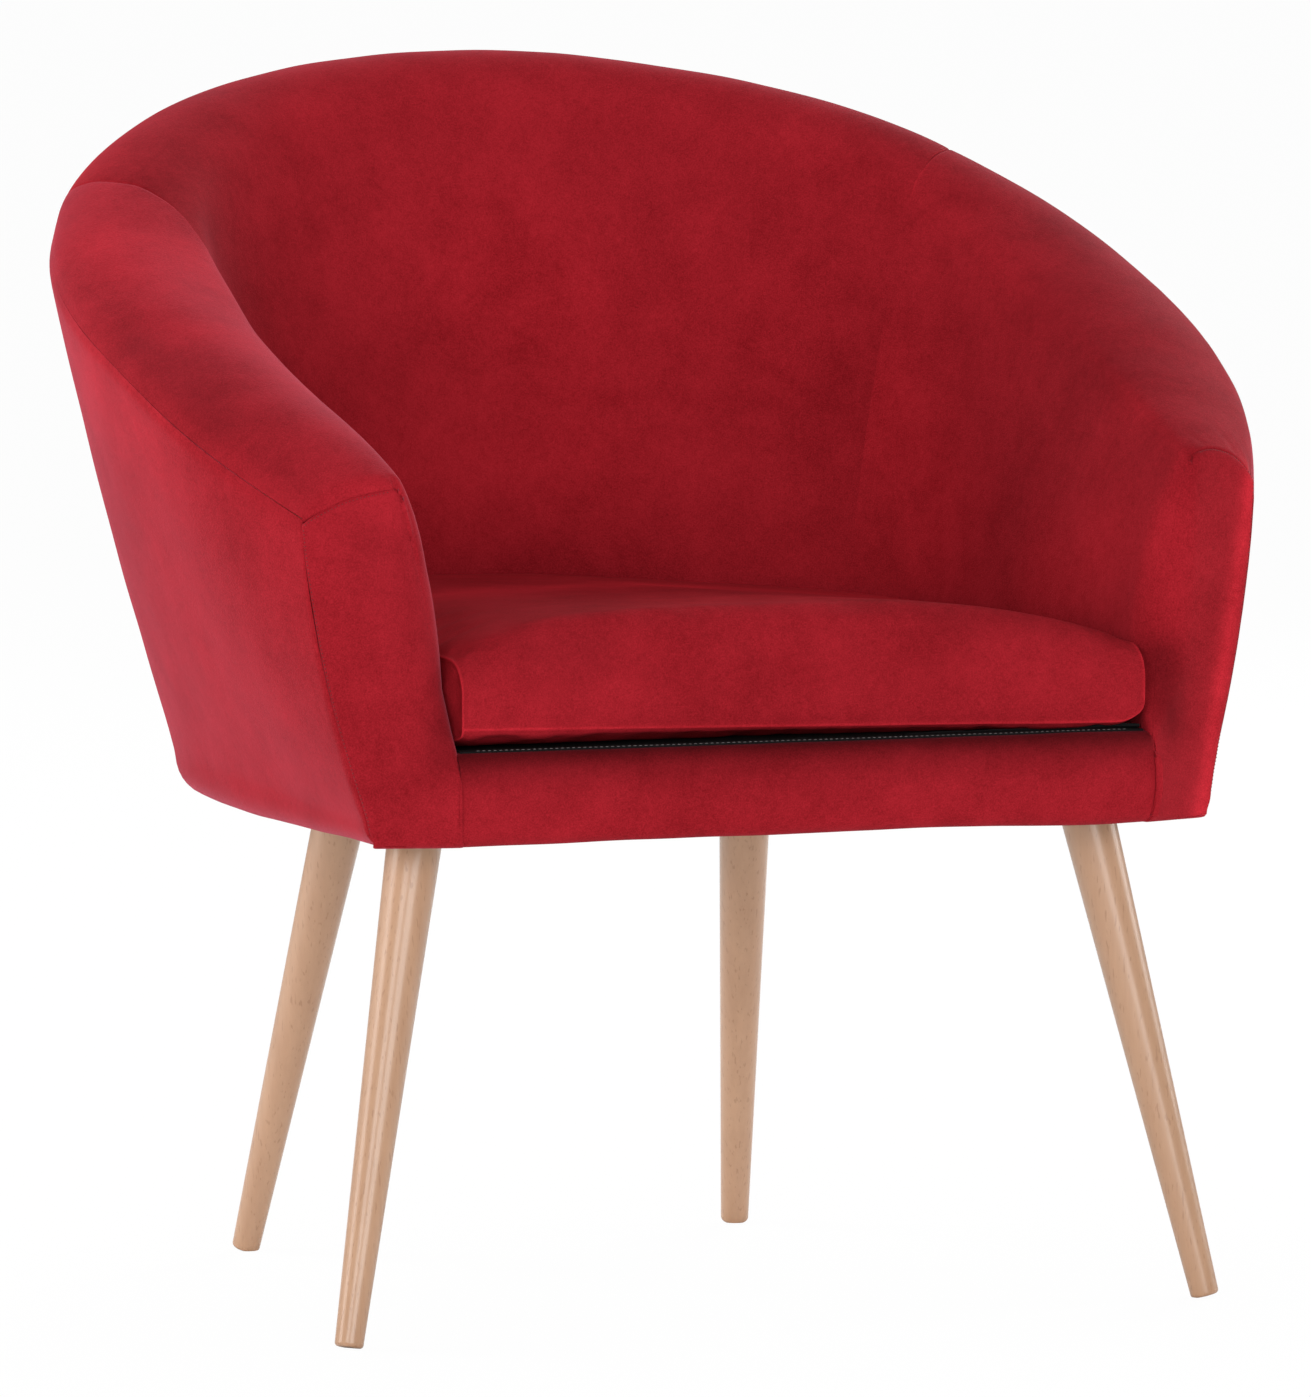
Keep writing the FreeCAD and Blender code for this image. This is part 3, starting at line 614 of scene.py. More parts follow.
def armFront(edgeFlat, corner):
    # the flat front of the arm, whose left edge and top edge are the inside panel's last rib
    base = tub["baseHeight"]
    lip = 5 * mm
    radius = frontRib.baseRound
    low = base + radius
    bend = frontRib.outer(low)
    below = np.linspace(base + lip, edgeFlat[0, 1], 16)[:-1]
    left = np.concatenate([np.stack([0 * below, below], axis=1), edgeFlat[:corner + 1]])
    top = edgeFlat[corner:]
    cut = radius * nip
    turn = arcThrough((bend - cut, base + cut), (bend - cut / 3, base + radius * 0.62), (bend, low), 20)
    high = frontRib.rimZ
    wall = arcThrough((bend, low), frontRib.outerPoint((high + low) / 2), frontRib.outerPoint(high), 120)
    rightPath = np.concatenate([turn, wall[1:]])
    rightPath[-1] = top[-1]
    up = lineRun(left)
    up = (up / up[-1])[:, None, None]
    over = lineRun(top)
    over = (over / over[-1])[None, :, None]
    right = alongPath(rightPath, up[:, 0, 0] * pathLength(rightPath))
    bottom = left[0] + (right[0] - left[0]) * over[0]
    flat = ((1 - up) * bottom[None] + up * top[None] + (1 - over) * left[:, None] + over * right[:, None]
            - (1 - over) * (1 - up) * left[0] - over * (1 - up) * right[0]
            - (1 - over) * up * top[0] - over * up * top[-1])
    face = frontRib.place(flat)
    rows = []
    for turn in (math.pi / 2, math.pi / 3, math.pi / 6):
        rows.append(face[:1] + backward * lip * (1 - math.cos(turn)) - np.array([0, 0, lip * math.sin(turn)]))
    rows.insert(0, rows[0] + backward * 7 * mm)
    return np.concatenate(rows + [face])


def mirrored(places):
    return places[:, ::-1] * np.array([-1, 1, 1])


def loosePiece(name, body, slot, material, *nodes):
    piece = bpy.data.objects[name]
    piece.data.materials.clear()
    piece.data.materials.append(material)
    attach(piece, body)
    if nodes:
        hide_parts(*nodes)
    return piece


# Materials

def newMaterial(name):
    material = bpy.data.materials.new(name)
    material.use_nodes = True
    nodes = material.node_tree.nodes
    return material, nodes, material.node_tree.links, nodes["Principled BSDF"]


def nodeGroup(name, colours, numbers):
    # a group that turns a place into a colour and a height
    group = bpy.data.node_groups.new(name, "ShaderNodeTree")
    group.interface.new_socket(name="Vector", in_out="INPUT", socket_type="NodeSocketVector")
    for socket in colours:
        group.interface.new_socket(name=socket, in_out="INPUT", socket_type="NodeSocketColor")
    for socket, value in numbers.items():
        made = group.interface.new_socket(name=socket, in_out="INPUT", socket_type="NodeSocketFloat")
        made.default_value = value
    group.interface.new_socket(name="Color", in_out="OUTPUT", socket_type="NodeSocketColor")
    group.interface.new_socket(name="Height", in_out="OUTPUT", socket_type="NodeSocketFloat")
    start = group.nodes.new("NodeGroupInput")
    end = group.nodes.new("NodeGroupOutput")
    return group, start.outputs, end.inputs


def mathNode(tree, kind, a, b):
    node = tree.nodes.new("ShaderNodeMath")
    node.operation = kind
    for socket, value in zip(node.inputs, (a, b)):
        if isinstance(value, (int, float)):
            socket.default_value = value
        else:
            tree.links.new(value, socket)
    return node.outputs[0]


def add(tree, a, b):
    return mathNode(tree, "ADD", a, b)


def times(tree, a, b):
    return mathNode(tree, "MULTIPLY", a, b)


def noiseNode(tree, vector, scale, detail, roughness):
    node = tree.nodes.new("ShaderNodeTexNoise")
    for socket, value in (("Scale", scale), ("Detail", detail), ("Roughness", roughness)):
        node.inputs[socket].default_value = value
    tree.links.new(vector, node.inputs["Vector"])
    return node.outputs["Fac"]


def mixColours(tree, share, first, second):
    mix = tree.nodes.new("ShaderNodeMix")
    mix.data_type = "RGBA"
    for socket, value in ((0, share), (6, first), (7, second)):
        tree.links.new(value, mix.inputs[socket])
    return mix.outputs[2]


def clamped(tree, value):
    clamp = tree.nodes.new("ShaderNodeClamp")
    tree.links.new(value, clamp.inputs[0])
    return clamp.outputs[0]


def pileGroup():
    # short-pile velvet: brushed patches, mottling and the grain of the pile, with their size, detail and weight
    group, start, end = nodeGroup("pile", ("Deep", "Bright"), {"Brushed": 1.0, "ToneAndShade": 0.0})
    tones = []
    for scale, detail, weight in ((6.5, 3.0, 1.0), (38.0, 3.0, 0.62), (210.0, 2.0, 0.42), (1050.0, 1.0, 1.15)):
        layer = noiseNode(group, start["Vector"], scale, detail, 0.58)
        tones.append(times(group, mathNode(group, "SUBTRACT", layer, 0.5), weight))
    coarse, fine = add(group, tones[0], tones[1]), add(group, tones[2], tones[3])
    tone = add(group, times(group, add(group, coarse, fine), start["Brushed"]), 0.5)
    shade = group.nodes.new("ShaderNodeVectorMath")
    shade.operation = "SCALE"
    group.links.new(mixColours(group, clamped(group, tone), start["Deep"], start["Bright"]), shade.inputs[0])
    # the ToneAndShade input scales the colour: painted light and shade, and lighter or darker patches
    group.links.new(add(group, start["ToneAndShade"], 1.0), shade.inputs["Scale"])
    group.links.new(shade.outputs[0], end["Color"])
    group.links.new(add(group, fine, times(group, tones[1], 1.5)), end["Height"])
    return group


def weaveGroup():
    # plain weave: crossed threads
    group, start, end = nodeGroup("weave", ("Dark", "Light"), {"Threads": 900.0})
    split = group.nodes.new("ShaderNodeSeparateXYZ")
    group.links.new(start["Vector"], split.inputs[0])
    warp, weft = (mathNode(group, "SINE", times(group, split.outputs[k], start["Threads"]), 0) for k in (0, 1))
    cross = add(group, times(group, times(group, warp, weft), 0.5), 0.5)
    fuzz = noiseNode(group, start["Vector"], 160.0, 3.0, 0.6)
    tone = times(group, add(group, cross, fuzz), 0.5)
    group.links.new(mixColours(group, tone, start["Dark"], start["Light"]), end["Color"])
    group.links.new(tone, end["Height"])
    return group


def grainGroup():
    # wood grain that runs along Z, with short dark flecks
    group, start, end = nodeGroup("woodGrain", ("Pale", "Dark"), {"Flecks": 0.5})
    stretched = []
    for shrink in (0.045, 0.16):
        mapping = group.nodes.new("ShaderNodeMapping")
        mapping.inputs["Scale"].default_value = (1.0, 1.0, shrink)
        group.links.new(start["Vector"], mapping.inputs["Vector"])
        stretched.append(mapping.outputs[0])
    bands = noiseNode(group, stretched[0], 75.0, 4.0, 0.6)
    fine = noiseNode(group, stretched[0], 420.0, 3.0, 0.65)
    flecks = noiseNode(group, stretched[1], 620.0, 1.0, 0.5)
    cloud = noiseNode(group, start["Vector"], 9.0, 2.0, 0.5)
    tone = add(group, times(group, bands, 0.75), times(group, fine, 0.45))
    tone = mathNode(group, "SUBTRACT", add(group, tone, times(group, cloud, 0.5)), 0.35)
    spots = group.nodes.new("ShaderNodeMapRange")
    spots.inputs["From Min"].default_value = 0.63
    spots.inputs["From Max"].default_value = 0.70
    group.links.new(flecks, spots.inputs["Value"])
    tone = add(group, tone, times(group, spots.outputs[0], start["Flecks"]))
    group.links.new(mixColours(group, clamped(group, tone), start["Pale"], start["Dark"]), end["Color"])
    group.links.new(fine, end["Height"])
    return group


groups = {"pile": pileGroup(), "weave": weaveGroup(), "grain": grainGroup()}


def groupMaterial(name, group, values, roughness, bumpDistance, **sockets):
    # a material whose colour and bump come from one of the shared groups
    material, nodes, links, shader = newMaterial(name)
    where = nodes.new("ShaderNodeTexCoord")
    effect = nodes.new("ShaderNodeGroup")
    effect.node_tree = groups[group]
    links.new(where.outputs["Object"], effect.inputs["Vector"])
    for socket, value in values.items():
        effect.inputs[socket].default_value = (*value, 1) if isinstance(value, tuple) else value
    bump = nodes.new("ShaderNodeBump")
    bump.inputs["Strength"].default_value = 0.6
    bump.inputs["Distance"].default_value = bumpDistance
    links.new(effect.outputs["Height"], bump.inputs["Height"])
    links.new(bump.outputs["Normal"], shader.inputs["Normal"])
    links.new(effect.outputs["Color"], shader.inputs["Base Color"])
    shader.inputs["Roughness"].default_value = roughness
    for socket, value in sockets.items():
        shader.inputs[socket].default_value = value
    return material


def velvetMaterial(name, bright, sheen):
    material = groupMaterial(
        name, "pile", {"Deep": (0.175, 0.0045, 0.0078), "Bright": bright}, 0.9, 0.35 * mm,
        **{"Sheen Weight": sheen, "Sheen Roughness": 0.34, "Sheen Tint": (1.0, 0.30, 0.42, 1),
           "Specular IOR Level": 0.05})
    # the colour is scaled by the points' painted light and shade
    toneAndShade = material.node_tree.nodes.new("ShaderNodeAttribute")
    toneAndShade.attribute_name = "toneAndShade"
    effect = next(node for node in material.node_tree.nodes if node.type == "GROUP")
    material.node_tree.links.new(toneAndShade.outputs["Fac"], effect.inputs["ToneAndShade"])
    return material


velvet = velvetMaterial("redVelvet", (0.365, 0.014, 0.023), 0.08)
# the pile of the left arm and of the outside lies the other way, and looks lighter
velvetSide = velvetMaterial("redVelvetSide", (0.365, 0.0142, 0.0235), 0.31)
velvetSeat = velvetMaterial("redVelvetSeat", (0.365, 0.014, 0.023), 0.0)
beech = groupMaterial(
    "beech", "grain", {"Pale": (0.505, 0.30, 0.180), "Dark": (0.36, 0.193, 0.107), "Flecks": 0.5},
    0.42, 0.12 * mm, **{"Coat Weight": 0.45, "Coat Roughness": 0.2})
frameTimber = groupMaterial(
    "frameTimber", "grain", {"Pale": (0.70, 0.53, 0.33), "Dark": (0.42, 0.27, 0.14), "Flecks": 0.2}, 0.7, 0.3 * mm)
hardboard = groupMaterial(
    "hardboard", "pile", {"Deep": (0.16, 0.085, 0.04), "Bright": (0.34, 0.2, 0.11)}, 0.75, 0.2 * mm)
foam = groupMaterial(
    "foam", "pile", {"Deep": (0.72, 0.64, 0.42), "Bright": (0.9, 0.84, 0.66)}, 0.95, 0.6 * mm)
platformCloth = groupMaterial(
    "platformCloth", "weave", {"Threads": 5200.0, "Dark": (0.002, 0.002, 0.0022), "Light": (0.010, 0.0095, 0.010)},
    0.9, 0.2 * mm, **{"Specular IOR Level": 0.15})
dustCloth = groupMaterial(
    "dustCloth", "weave", {"Threads": 2600.0, "Dark": (0.008, 0.008, 0.008), "Light": (0.035, 0.035, 0.036)},
    0.9, 0.3 * mm)
webbing = groupMaterial(
    "webbing", "weave", {"Threads": 1900.0, "Dark": (0.05, 0.045, 0.04), "Light": (0.17, 0.155, 0.14)},
    0.8, 0.5 * mm)
steel = groupMaterial(
    "zincSteel", "grain", {"Pale": (0.62, 0.62, 0.63), "Dark": (0.4, 0.4, 0.41), "Flecks": 0.1}, 0.35, 0.05 * mm,
    **{"Metallic": 1.0})
thread = groupMaterial(
    "redThread", "pile", {"Deep": (0.05, 0.003, 0.005), "Bright": (0.12, 0.006, 0.01)}, 0.7, 0.1 * mm)
paleThread = groupMaterial(
    "paleThread", "pile", {"Deep": (0.10, 0.09, 0.09), "Bright": (0.2, 0.18, 0.18)}, 0.7, 0.1 * mm)
print("materials made")


# Stitches: one thread, copied along a seam

stitches = {"front": {"spacing": 2.4 * mm, "length": 0.9 * mm, "radius": 0.34 * mm, "proud": 0.02 * mm},
            "platform": {"spacing": 3.7 * mm, "length": 2.2 * mm, "radius": 0.3 * mm, "proud": 0.05 * mm}}


def stitchRow(line, size):
    # thread places and directions, evenly spaced along a line of points
    spots = np.arange(size["spacing"], lineRun(line)[-1] - size["spacing"], size["spacing"])
    middle = alongPath(line, spots)
    return middle, unit(alongPath(line, spots + 0.5 * mm) - middle)


def sewRows(name, rows, size, body, slot, material, *nodes):
    bpy.ops.object.select_all(action="DESELECT")
    bpy.ops.mesh.primitive_uv_sphere_add(segments=6, ring_count=4, radius=1)
    one = bpy.context.object
    shape = readPlaces(one)
    loops = [tuple(face.vertices) for face in one.data.polygons]
    bpy.data.objects.remove(one)
    places = []
    faces = []
    for cloth, line in rows:
        for middle, ahead in zip(*stitchRow(line, size)):
            _, spot, normal, _ = cloth.closest_point_on_mesh(Vector(middle))
            middle = np.array(spot) + np.array(normal) * size["proud"]
            aside = np.cross(ahead, (0.3, 0.5, 0.81))
            aside /= np.linalg.norm(aside)
            over = np.cross(ahead, aside)
            turned = (shape[:, :1] * aside + shape[:, 1:2] * over) * size["radius"]
            faces += [tuple(k + len(places) * len(shape) for k in loop) for loop in loops]
            places.append(turned + shape[:, 2:] * ahead * size["length"] / 2 + middle)
    mesh = bpy.data.meshes.new(name)
    mesh.from_pydata(np.concatenate(places).tolist(), [], faces)
    piece = bpy.data.objects.new(name, mesh)
    bpy.context.scene.collection.objects.link(piece)
    smoothShade(piece, 60)
    return loosePiece(name, body, slot, material, *nodes)


def panel(name, places):
    piece = gridPiece(name, places)
    loosen(piece)
    return piece


def finishPanel(piece, places, rests, body, slot, material, *nodes, thickness=None, seams=()):
    giveThickness(piece, thickness or tub["clothThickness"])
    smoothShade(piece)
    paintPileToneAndShade(piece, seams)
    return loosePiece(piece.name, body, slot, material, *nodes)


# The arms: inside, rim and front in one panel, with a dart across the rim

# how deep and how puckered each seam is, and some seams' tuck and reach
sewn = {"rim": (0.25, 0.22, 2.6 * mm, 8 * mm), "outside": (0.25, 0.22, 2.6 * mm, 5 * mm), "front": (0.3, 0.22),
        "dart": (0.6, 0.7), "rearOutside": (0.6, 0.6), "rearRim": 0.42, "railEnd": (0.2, 0.5), "belowDeck": 0.2,
        "rearRows": (8, 22), "dartRows": (2, 11)}      # rows past the rim's start over which these seams deepen
# how far each arm's dart is moved down its front, at shares of the way from its inner to its outer end
dartSlides = {1: (0.0, -3.5 * mm, -4.5 * mm, -3 * mm), -1: (0.0, 8 * mm, 8.5 * mm, 3.5 * mm)}
rounds = {"dart": 13 * mm, "dartEnd": 4 * mm, "front": 11 * mm, "frontEnd": 4 * mm}
# the front's inner edge stands proud beside the rail: its height and how far
proud = {"heights": (0.315, 0.325, 0.335, 0.348, 0.358, 0.368), "out": (0.0, 0.6, 1.0, 0.95, 0.4, 0.0),
         "depth": 7 * mm, "reach": 30 * mm}


def rearSeam():
    # the rear seam shows on the rim only
    first, last = sewn["rearRows"]
    rows = np.arange(corner + len(insideFlat(frontRib)[1]))
    return sewn["rearRim"] * smoothStep(rows, corner + first, corner + last)


def outerRound(height):
    # radius between the arm's front and outside, less at the top and bottom
    ends = np.maximum(smoothStep(height, frontRib.rimZ - 60 * mm, frontRib.rimZ),
                      1 - smoothStep(height, tub["baseHeight"] + 2 * mm, tub["baseHeight"] + 30 * mm))
    return rounds["front"] + (rounds["frontEnd"] - rounds["front"]) * ends


frontSeams = []


def buildSide(side, name):
    stations = ribStations(tub["seamRib"], tub["frontRib"], True, True)
    share = (stations - tub["seamRib"]) / (tub["frontRib"] - tub["seamRib"])
    rear = rearStations(side)
    inside = insideGrid(rear[:, None] + share[None] * (tub["frontRib"] - rear[:, None]), 1.6, tub["frontRib"])
    outside = outsideGrid(stations)
    front = armFront(insideFlat(frontRib)[0], corner)
    inside = roundCorner(inside)
    front = roundCorner(front)
    bulge = np.interp(front[..., 2], proud["heights"], proud["out"]) * np.exp(-runLengths(front, 1) / proud["reach"])
    front = front - backward * (bulge * proud["depth"])[..., None]

    share = np.linspace(0, 1, front.shape[1])
    dartRound = rounds["dartEnd"] + (rounds["dart"] - rounds["dartEnd"]) * np.sin(share * math.pi) ** 0.7
    dartLine, dartInside = inside[corner:, -1].copy(), surfaceNormals(inside)[corner:, -1]
    dartFront = surfaceNormals(front)[-1]
    inside[corner:] = filletEdge(inside[corner:], "right", dartRound, dartLine, dartFront)
    front = filletEdge(front, "high", dartRound, dartLine, dartInside)
    frontRound = outerRound(front[:, -1, 2])
    frontLine, frontFront = front[:, -1].copy(), surfaceNormals(front)[:, -1]
    outsideLine, outsideNormals = outside[:, -1].copy(), surfaceNormals(outside)[:, -1]
    front = filletEdge(front, "right", frontRound, outsideLine, outsideNormals)
    outside = filletEdge(outside, "right", outerRound(outsideLine[:, 2]), frontLine, frontFront)

    slide = np.interp(share, (0, 0.35, 0.7, 1), dartSlides[side])
    slide = np.convolve(np.pad(slide, 4, mode="edge"), np.ones(9) / 9, mode="valid")
    slideSeam(inside, front, slide * smoothStep(share, 0, 0.12))

    dartDepth, dartPucker = sewn["dart"]
    first, last = sewn["dartRows"]
    dart = dartDepth * smoothStep(np.arange(inside.shape[0]), corner + first, corner + last)
    dartTop = dartDepth * smoothStep(np.arange(front.shape[1]), first, last)
    belowDeck = sewn["belowDeck"] * (1 - smoothStep(front[:, 0, 2], deckHeight - 8 * mm, deckHeight + 6 * mm))
    seed = 11 if side > 0 else 31
    overFront, overRim = partner(front, "high"), partner(inside, "high")
    frontSide, outsideSide = partner(front, "right"), partner(outside, "right")
    insideEnd, outsideTop = partner(inside, "right"), partner(outside, "low")
    insideEnd = [line[corner:] for line in insideEnd]
    inside = drawIn(inside, {"left": (rearSeam(), 0.3), "right": (dart, dartPucker), "high": sewn["rim"]}, seed,
                    {"high": outsideTop, "right": overFront})
    front = drawIn(front, {"left": (belowDeck, 0.4), "right": sewn["front"], "high": (dartTop, dartPucker)}, seed + 5,
                   {"right": outsideSide, "high": insideEnd})
    outside = drawIn(outside, {"left": sewn["rearOutside"], "right": sewn["front"], "low": sewn["outside"]}, seed + 9,
                     {"right": frontSide, "low": overRim})
    # below the inside velvet the front's edge turns back beside the rail
    shared = int(np.argmax(front[:, 0, 2] > deckHeight - tub["tuck"] - 1 * mm)) + 1
    turned = np.stack([front[3:shared, 0] + backward * step for step in (9 * mm, 4.5 * mm, 0)], axis=1)
    flip = np.array([side, 1, 1])
    seamLines = [front[6:, -4] * flip, front[-4, 10:] * flip]
    rearLine = inside[corner:, 0] * flip
    grids = [inside, front, turned, outside]
    if side < 0:
        grids = [mirrored(grid) for grid in grids]
    parts = [gridPiece("arm" + part, grid) for part, grid in zip(("Inside", "Front", "Turned"), grids)]
    arm = joinPieces("armVelvet" + name, parts, 0.05 * mm)
    loosen(arm)
    giveThickness(arm, tub["clothThickness"])
    smoothShade(arm)
    # a painted highlight along the rear seam on the rim
    paintPileToneAndShade(arm, [(rearLine, 1.4 * mm, 0.3)])
    node = name.lower()
    loosePiece(arm.name, "chair", "velvet", velvetSide if side < 0 else velvet,
               "arm_cover_" + node, "arm_front_cover_" + node, "arm_pad_" + node, "arm_front_pad_" + node)
    frontSeams.extend((arm, line) for line in seamLines)
    piece = panel("outsideVelvet" + name, grids[3])
    finishPanel(piece, grids[3], ["outside_board_" + node], "chair", "velvet", velvetSide, "outside_cover_" + node)


for armSide, armName in ((1, "Right"), (-1, "Left")):
    buildSide(armSide, armName)
print("arms covered")


# The back: inside and rim in one panel, outside in another

backFolds = (((-0.050, 0.552), (0.205, 0.541), 1.3, 6.0), ((0.148, 0.580), (0.196, 0.545), 1.2, 5.0),
             ((0.150, 0.690), (0.146, 0.575), 0.7, 6.0))   # start, end, depth and width in millimetres

backStations = ribStations(-tub["seamRib"], tub["seamRib"], True, True)
backShare = backStations / tub["seamRib"]
backRows = np.where(backShare < 0, rearStations(-1)[:, None] * backShare, rearStations(1)[:, None] * backShare)
backPlaces = insideGrid(backRows, -3.3, 2.7)
backOuter = outsideGrid(backStations)
backRim = partner(backPlaces, "high")
backPlaces = drawIn(backPlaces, {"left": (rearSeam(), 0.3), "right": (rearSeam(), 0.3), "high": sewn["rim"]}, 91,
                    {"high": partner(backOuter, "low")})
backInside = panel("backVelvet", backPlaces)
for foldStart, foldEnd, foldDepth, foldWidth in backFolds:
    crease(backInside, foldStart, foldEnd, foldDepth * mm, foldWidth * mm)
giveThickness(backInside, tub["clothThickness"])
smoothShade(backInside)
paintPileToneAndShade(backInside)
loosePiece("backVelvet", "chair", "velvet", velvet, "back_cover", "back_pad")

backOuter = drawIn(backOuter, {"left": sewn["rearOutside"], "right": sewn["rearOutside"], "low": sewn["outside"]}, 97,
                   {"low": backRim})
backOutside = panel("outsideVelvetBack", backOuter)
finishPanel(backOutside, backOuter, ["outside_board_back"], "chair", "velvet", velvet, "outside_cover_back")
sewRows("frontStitches", frontSeams, stitches["front"], "chair", "velvet", thread)
print("back covered and stitched")


# The front rail's velvet, and the black platform cloth that is sewn over its top edge

rail = {"endOut": 2.5 * mm, "bow": 9.5 * mm, "topRound": 14 * mm, "baseRound": 12 * mm, "over": 18 * mm,
        "under": 34 * mm, "fullness": 1.5 * mm, "step": 3.6 * mm, "topSlope": -0.0085, "topSag": 1.0 * mm,
        "endIn": 2.2 * mm}       # how far each end goes in behind the arm's front


def railNose(x):
    return frontCorner - rail["endOut"] - rail["bow"] * (1 - (x / tub["seatHalfWidth"]) ** 2)


def railTop(x):
    return deckHeight + rail["topSlope"] * x - rail["topSag"] * (x / tub["seatHalfWidth"]) ** 2


def railPath():
    # depth behind the nose and share of the height
    base = tub["baseHeight"]
    a, b = rail["topRound"], rail["baseRound"]
    upper = arcThrough((a, deckHeight), (a * nip, deckHeight - a * nip), (0, deckHeight - a), 20)
    front = arcThrough((0, deckHeight - a), (-rail["fullness"], (deckHeight - a + base + b) / 2), (0, base + b), 16)
    lower = arcThrough((0, base + b), (b * nip, base + b * nip), (b, base), 14)
    return np.concatenate([[(rail["over"], deckHeight)], upper, front[1:], lower[1:], [(rail["under"], base)]])


railFlat = railPath()
railFlat = alongPath(railFlat, np.linspace(0, pathLength(railFlat), 46))
railHalf = tub["seatHalfWidth"] + rail["endIn"]
railX = railHalf - marks(2 * railHalf, int(2 * railHalf / rail["step"]), True, True)
railShare = (railFlat[:, 1:] - tub["baseHeight"]) / (deckHeight - tub["baseHeight"])
railPlaces = np.zeros((len(railFlat), len(railX), 3))
railPlaces[..., 0] = railX[None, :]
railPlaces[..., 1] = railNose(railX)[None, :] + railFlat[:, :1]
railPlaces[..., 2] = tub["baseHeight"] + railShare * (railTop(railX) - tub["baseHeight"])[None, :]
railPlaces = drawIn(railPlaces, {"left": sewn["railEnd"], "right": sewn["railEnd"]}, 131)
railCentre = np.array([rail["topRound"] + rail["baseRound"], (deckHeight + tub["baseHeight"]) / 2])
railEnds = []
for column in (0, -1):
    edge = railPlaces[:, column]
    middle = np.array([edge[0, 0], railNose(edge[0, 0]) + railCentre[0], railCentre[1]])
    railEnds.append(edge + (middle - edge) * 0.45)
railPlaces = np.concatenate([railEnds[0][:, None], railPlaces, railEnds[1][:, None]], axis=1)
frontRail = panel("frontRailVelvet", railPlaces)
# the seams argument paints a highlight along the rail's end seam
finishPanel(frontRail, railPlaces, ["front_rail"], "chair", "velvet", velvet, "front_rail_cover", "front_rail_pad",
            seams=[(railPlaces[:, 1], 1.3 * mm, 0.3)])

# depths: in millimetres behind the rail's nose, where the cloth runs over its top edge
platform = {"depths": (11.0, 11.6, 12.4, 13.4, 15.0, 17.5, 21.0), "over": 0.9 * mm, "thickness": 0.9 * mm,
            "sideGap": 1.4 * mm, "sideDrop": 0.9 * mm}


def platformPlaces():
    stations = np.linspace(tub["frontRib"], 0.3, 90)
    shares = np.linspace(-1, 1, 110)
    feet = np.array([footAt(s) for s in stations])
    half = feet[:, 0] - platform["sideGap"]
    depths = np.array(platform["depths"]) * mm
    places = np.zeros((len(stations) + len(depths), len(shares), 3))
    ahead = len(depths)
    places[ahead:, :, 0] = half[:, None] * shares[None]
    places[ahead:, :, 1] = np.maximum(feet[:, 1:] - platform["sideGap"], railNose(0.0) + depths[-1] + 6 * mm)
    side = (1 - np.abs(shares))[None, :] * half[:, None]
    places[ahead:, :, 2] = deckHeight + 0.2 * mm - platform["sideDrop"] * np.exp(-side / (7 * mm))
    for k, depth in enumerate(depths):
        x = places[ahead, :, 0]
        reach = np.clip(rail["topRound"] - depth, 0, rail["topRound"])
        drop = rail["topRound"] - math.sqrt(rail["topRound"] ** 2 - reach ** 2)
        places[k, :, 0] = x
        places[k, :, 1] = railNose(x) + depth
        places[k, :, 2] = railTop(x) - drop + platform["over"]
    return places


deckPlaces = platformPlaces()
deck = gridPiece("platformCloth", deckPlaces)
loosen(deck, 0.4 * mm)
finishPanel(deck, deckPlaces, ["deck_pad"], "chair", "platform_cloth", platformCloth, "deck_cloth",
            thickness=platform["thickness"])
sewRows("platformStitches", [(deck, deckPlaces[2, 2:-2])], stitches["platform"],
        "chair", "platform_cloth", paleThread)
print("front rail and platform covered")


# The loose cushion: side panels sewn to one long panel that runs over the top and front.
# A coarse form is blown up by cloth simulation, and its movement is given to a fine one.

cushion = {
    "sideGap": 2.2 * mm, "backGap": 3.6 * mm, "frontSet": 6.0 * mm,
    "rise": 83.5 * mm, "backDrop": 15.5 * mm, "backSlope": -0.03,
    "leftDrop": (26.5 * mm, 4.5 * mm), "rightDrop": (33 * mm, 6 * mm),      # at the front and at the back
    "frontRound": 20 * mm,
    "seamHeight": 9.3 * mm, "seamSlope": -0.028,     # the front seam above the platform, and its fall to the right
    "bottomHeight": 4.2 * mm, "bottomSlope": -0.0165,
    "rollDepth": 14 * mm, "settle": 24 * mm, "rest": 0.9 * mm,
    # the right corner's lower edge is rounded up, less towards the back
    "cornerReach": 20 * mm, "cornerLift": 14 * mm, "cornerFade": (20 * mm, 90 * mm),
    "lastStation": 0.8, "frames": 20, "cap": 2.2 * mm,
    "ridge": (0.75 * mm, 0.9 * mm),                  # the seams' height and width
    "groove": (0.35 * mm, 2.6 * mm, 1.4 * mm),       # the groove's depth, place and width beside a seam
    # seamHighlight: how much lighter the seams are painted, a painted highlight
    "pucker": 0.12 * mm, "wrinkle": 0.9 * mm, "seamHighlight": 0.4,
    "coarse": (64, 60, 11), "fine": (122, 130, 15),  # columns, rows and levels
    "cloth": {"quality": 5, "mass": 0.3, "tension_stiffness": 12, "compression_stiffness": 12,
              "shear_stiffness": 5, "bending_stiffness": 0.6, "use_pressure": True,
              "uniform_pressure_force": 4.0, "shrink_min": -0.02, "vertex_group_mass": "sewn",
              "pin_stiffness": 1.0},
}
cushionFront = frontCorner + cushion["frontSet"]


def crowded(count, length, fine):
    # shares from 0 to 1, crowded at both ends on the fine form
    return marks(length, count, True, True) / length if fine else np.linspace(0, 1, count)


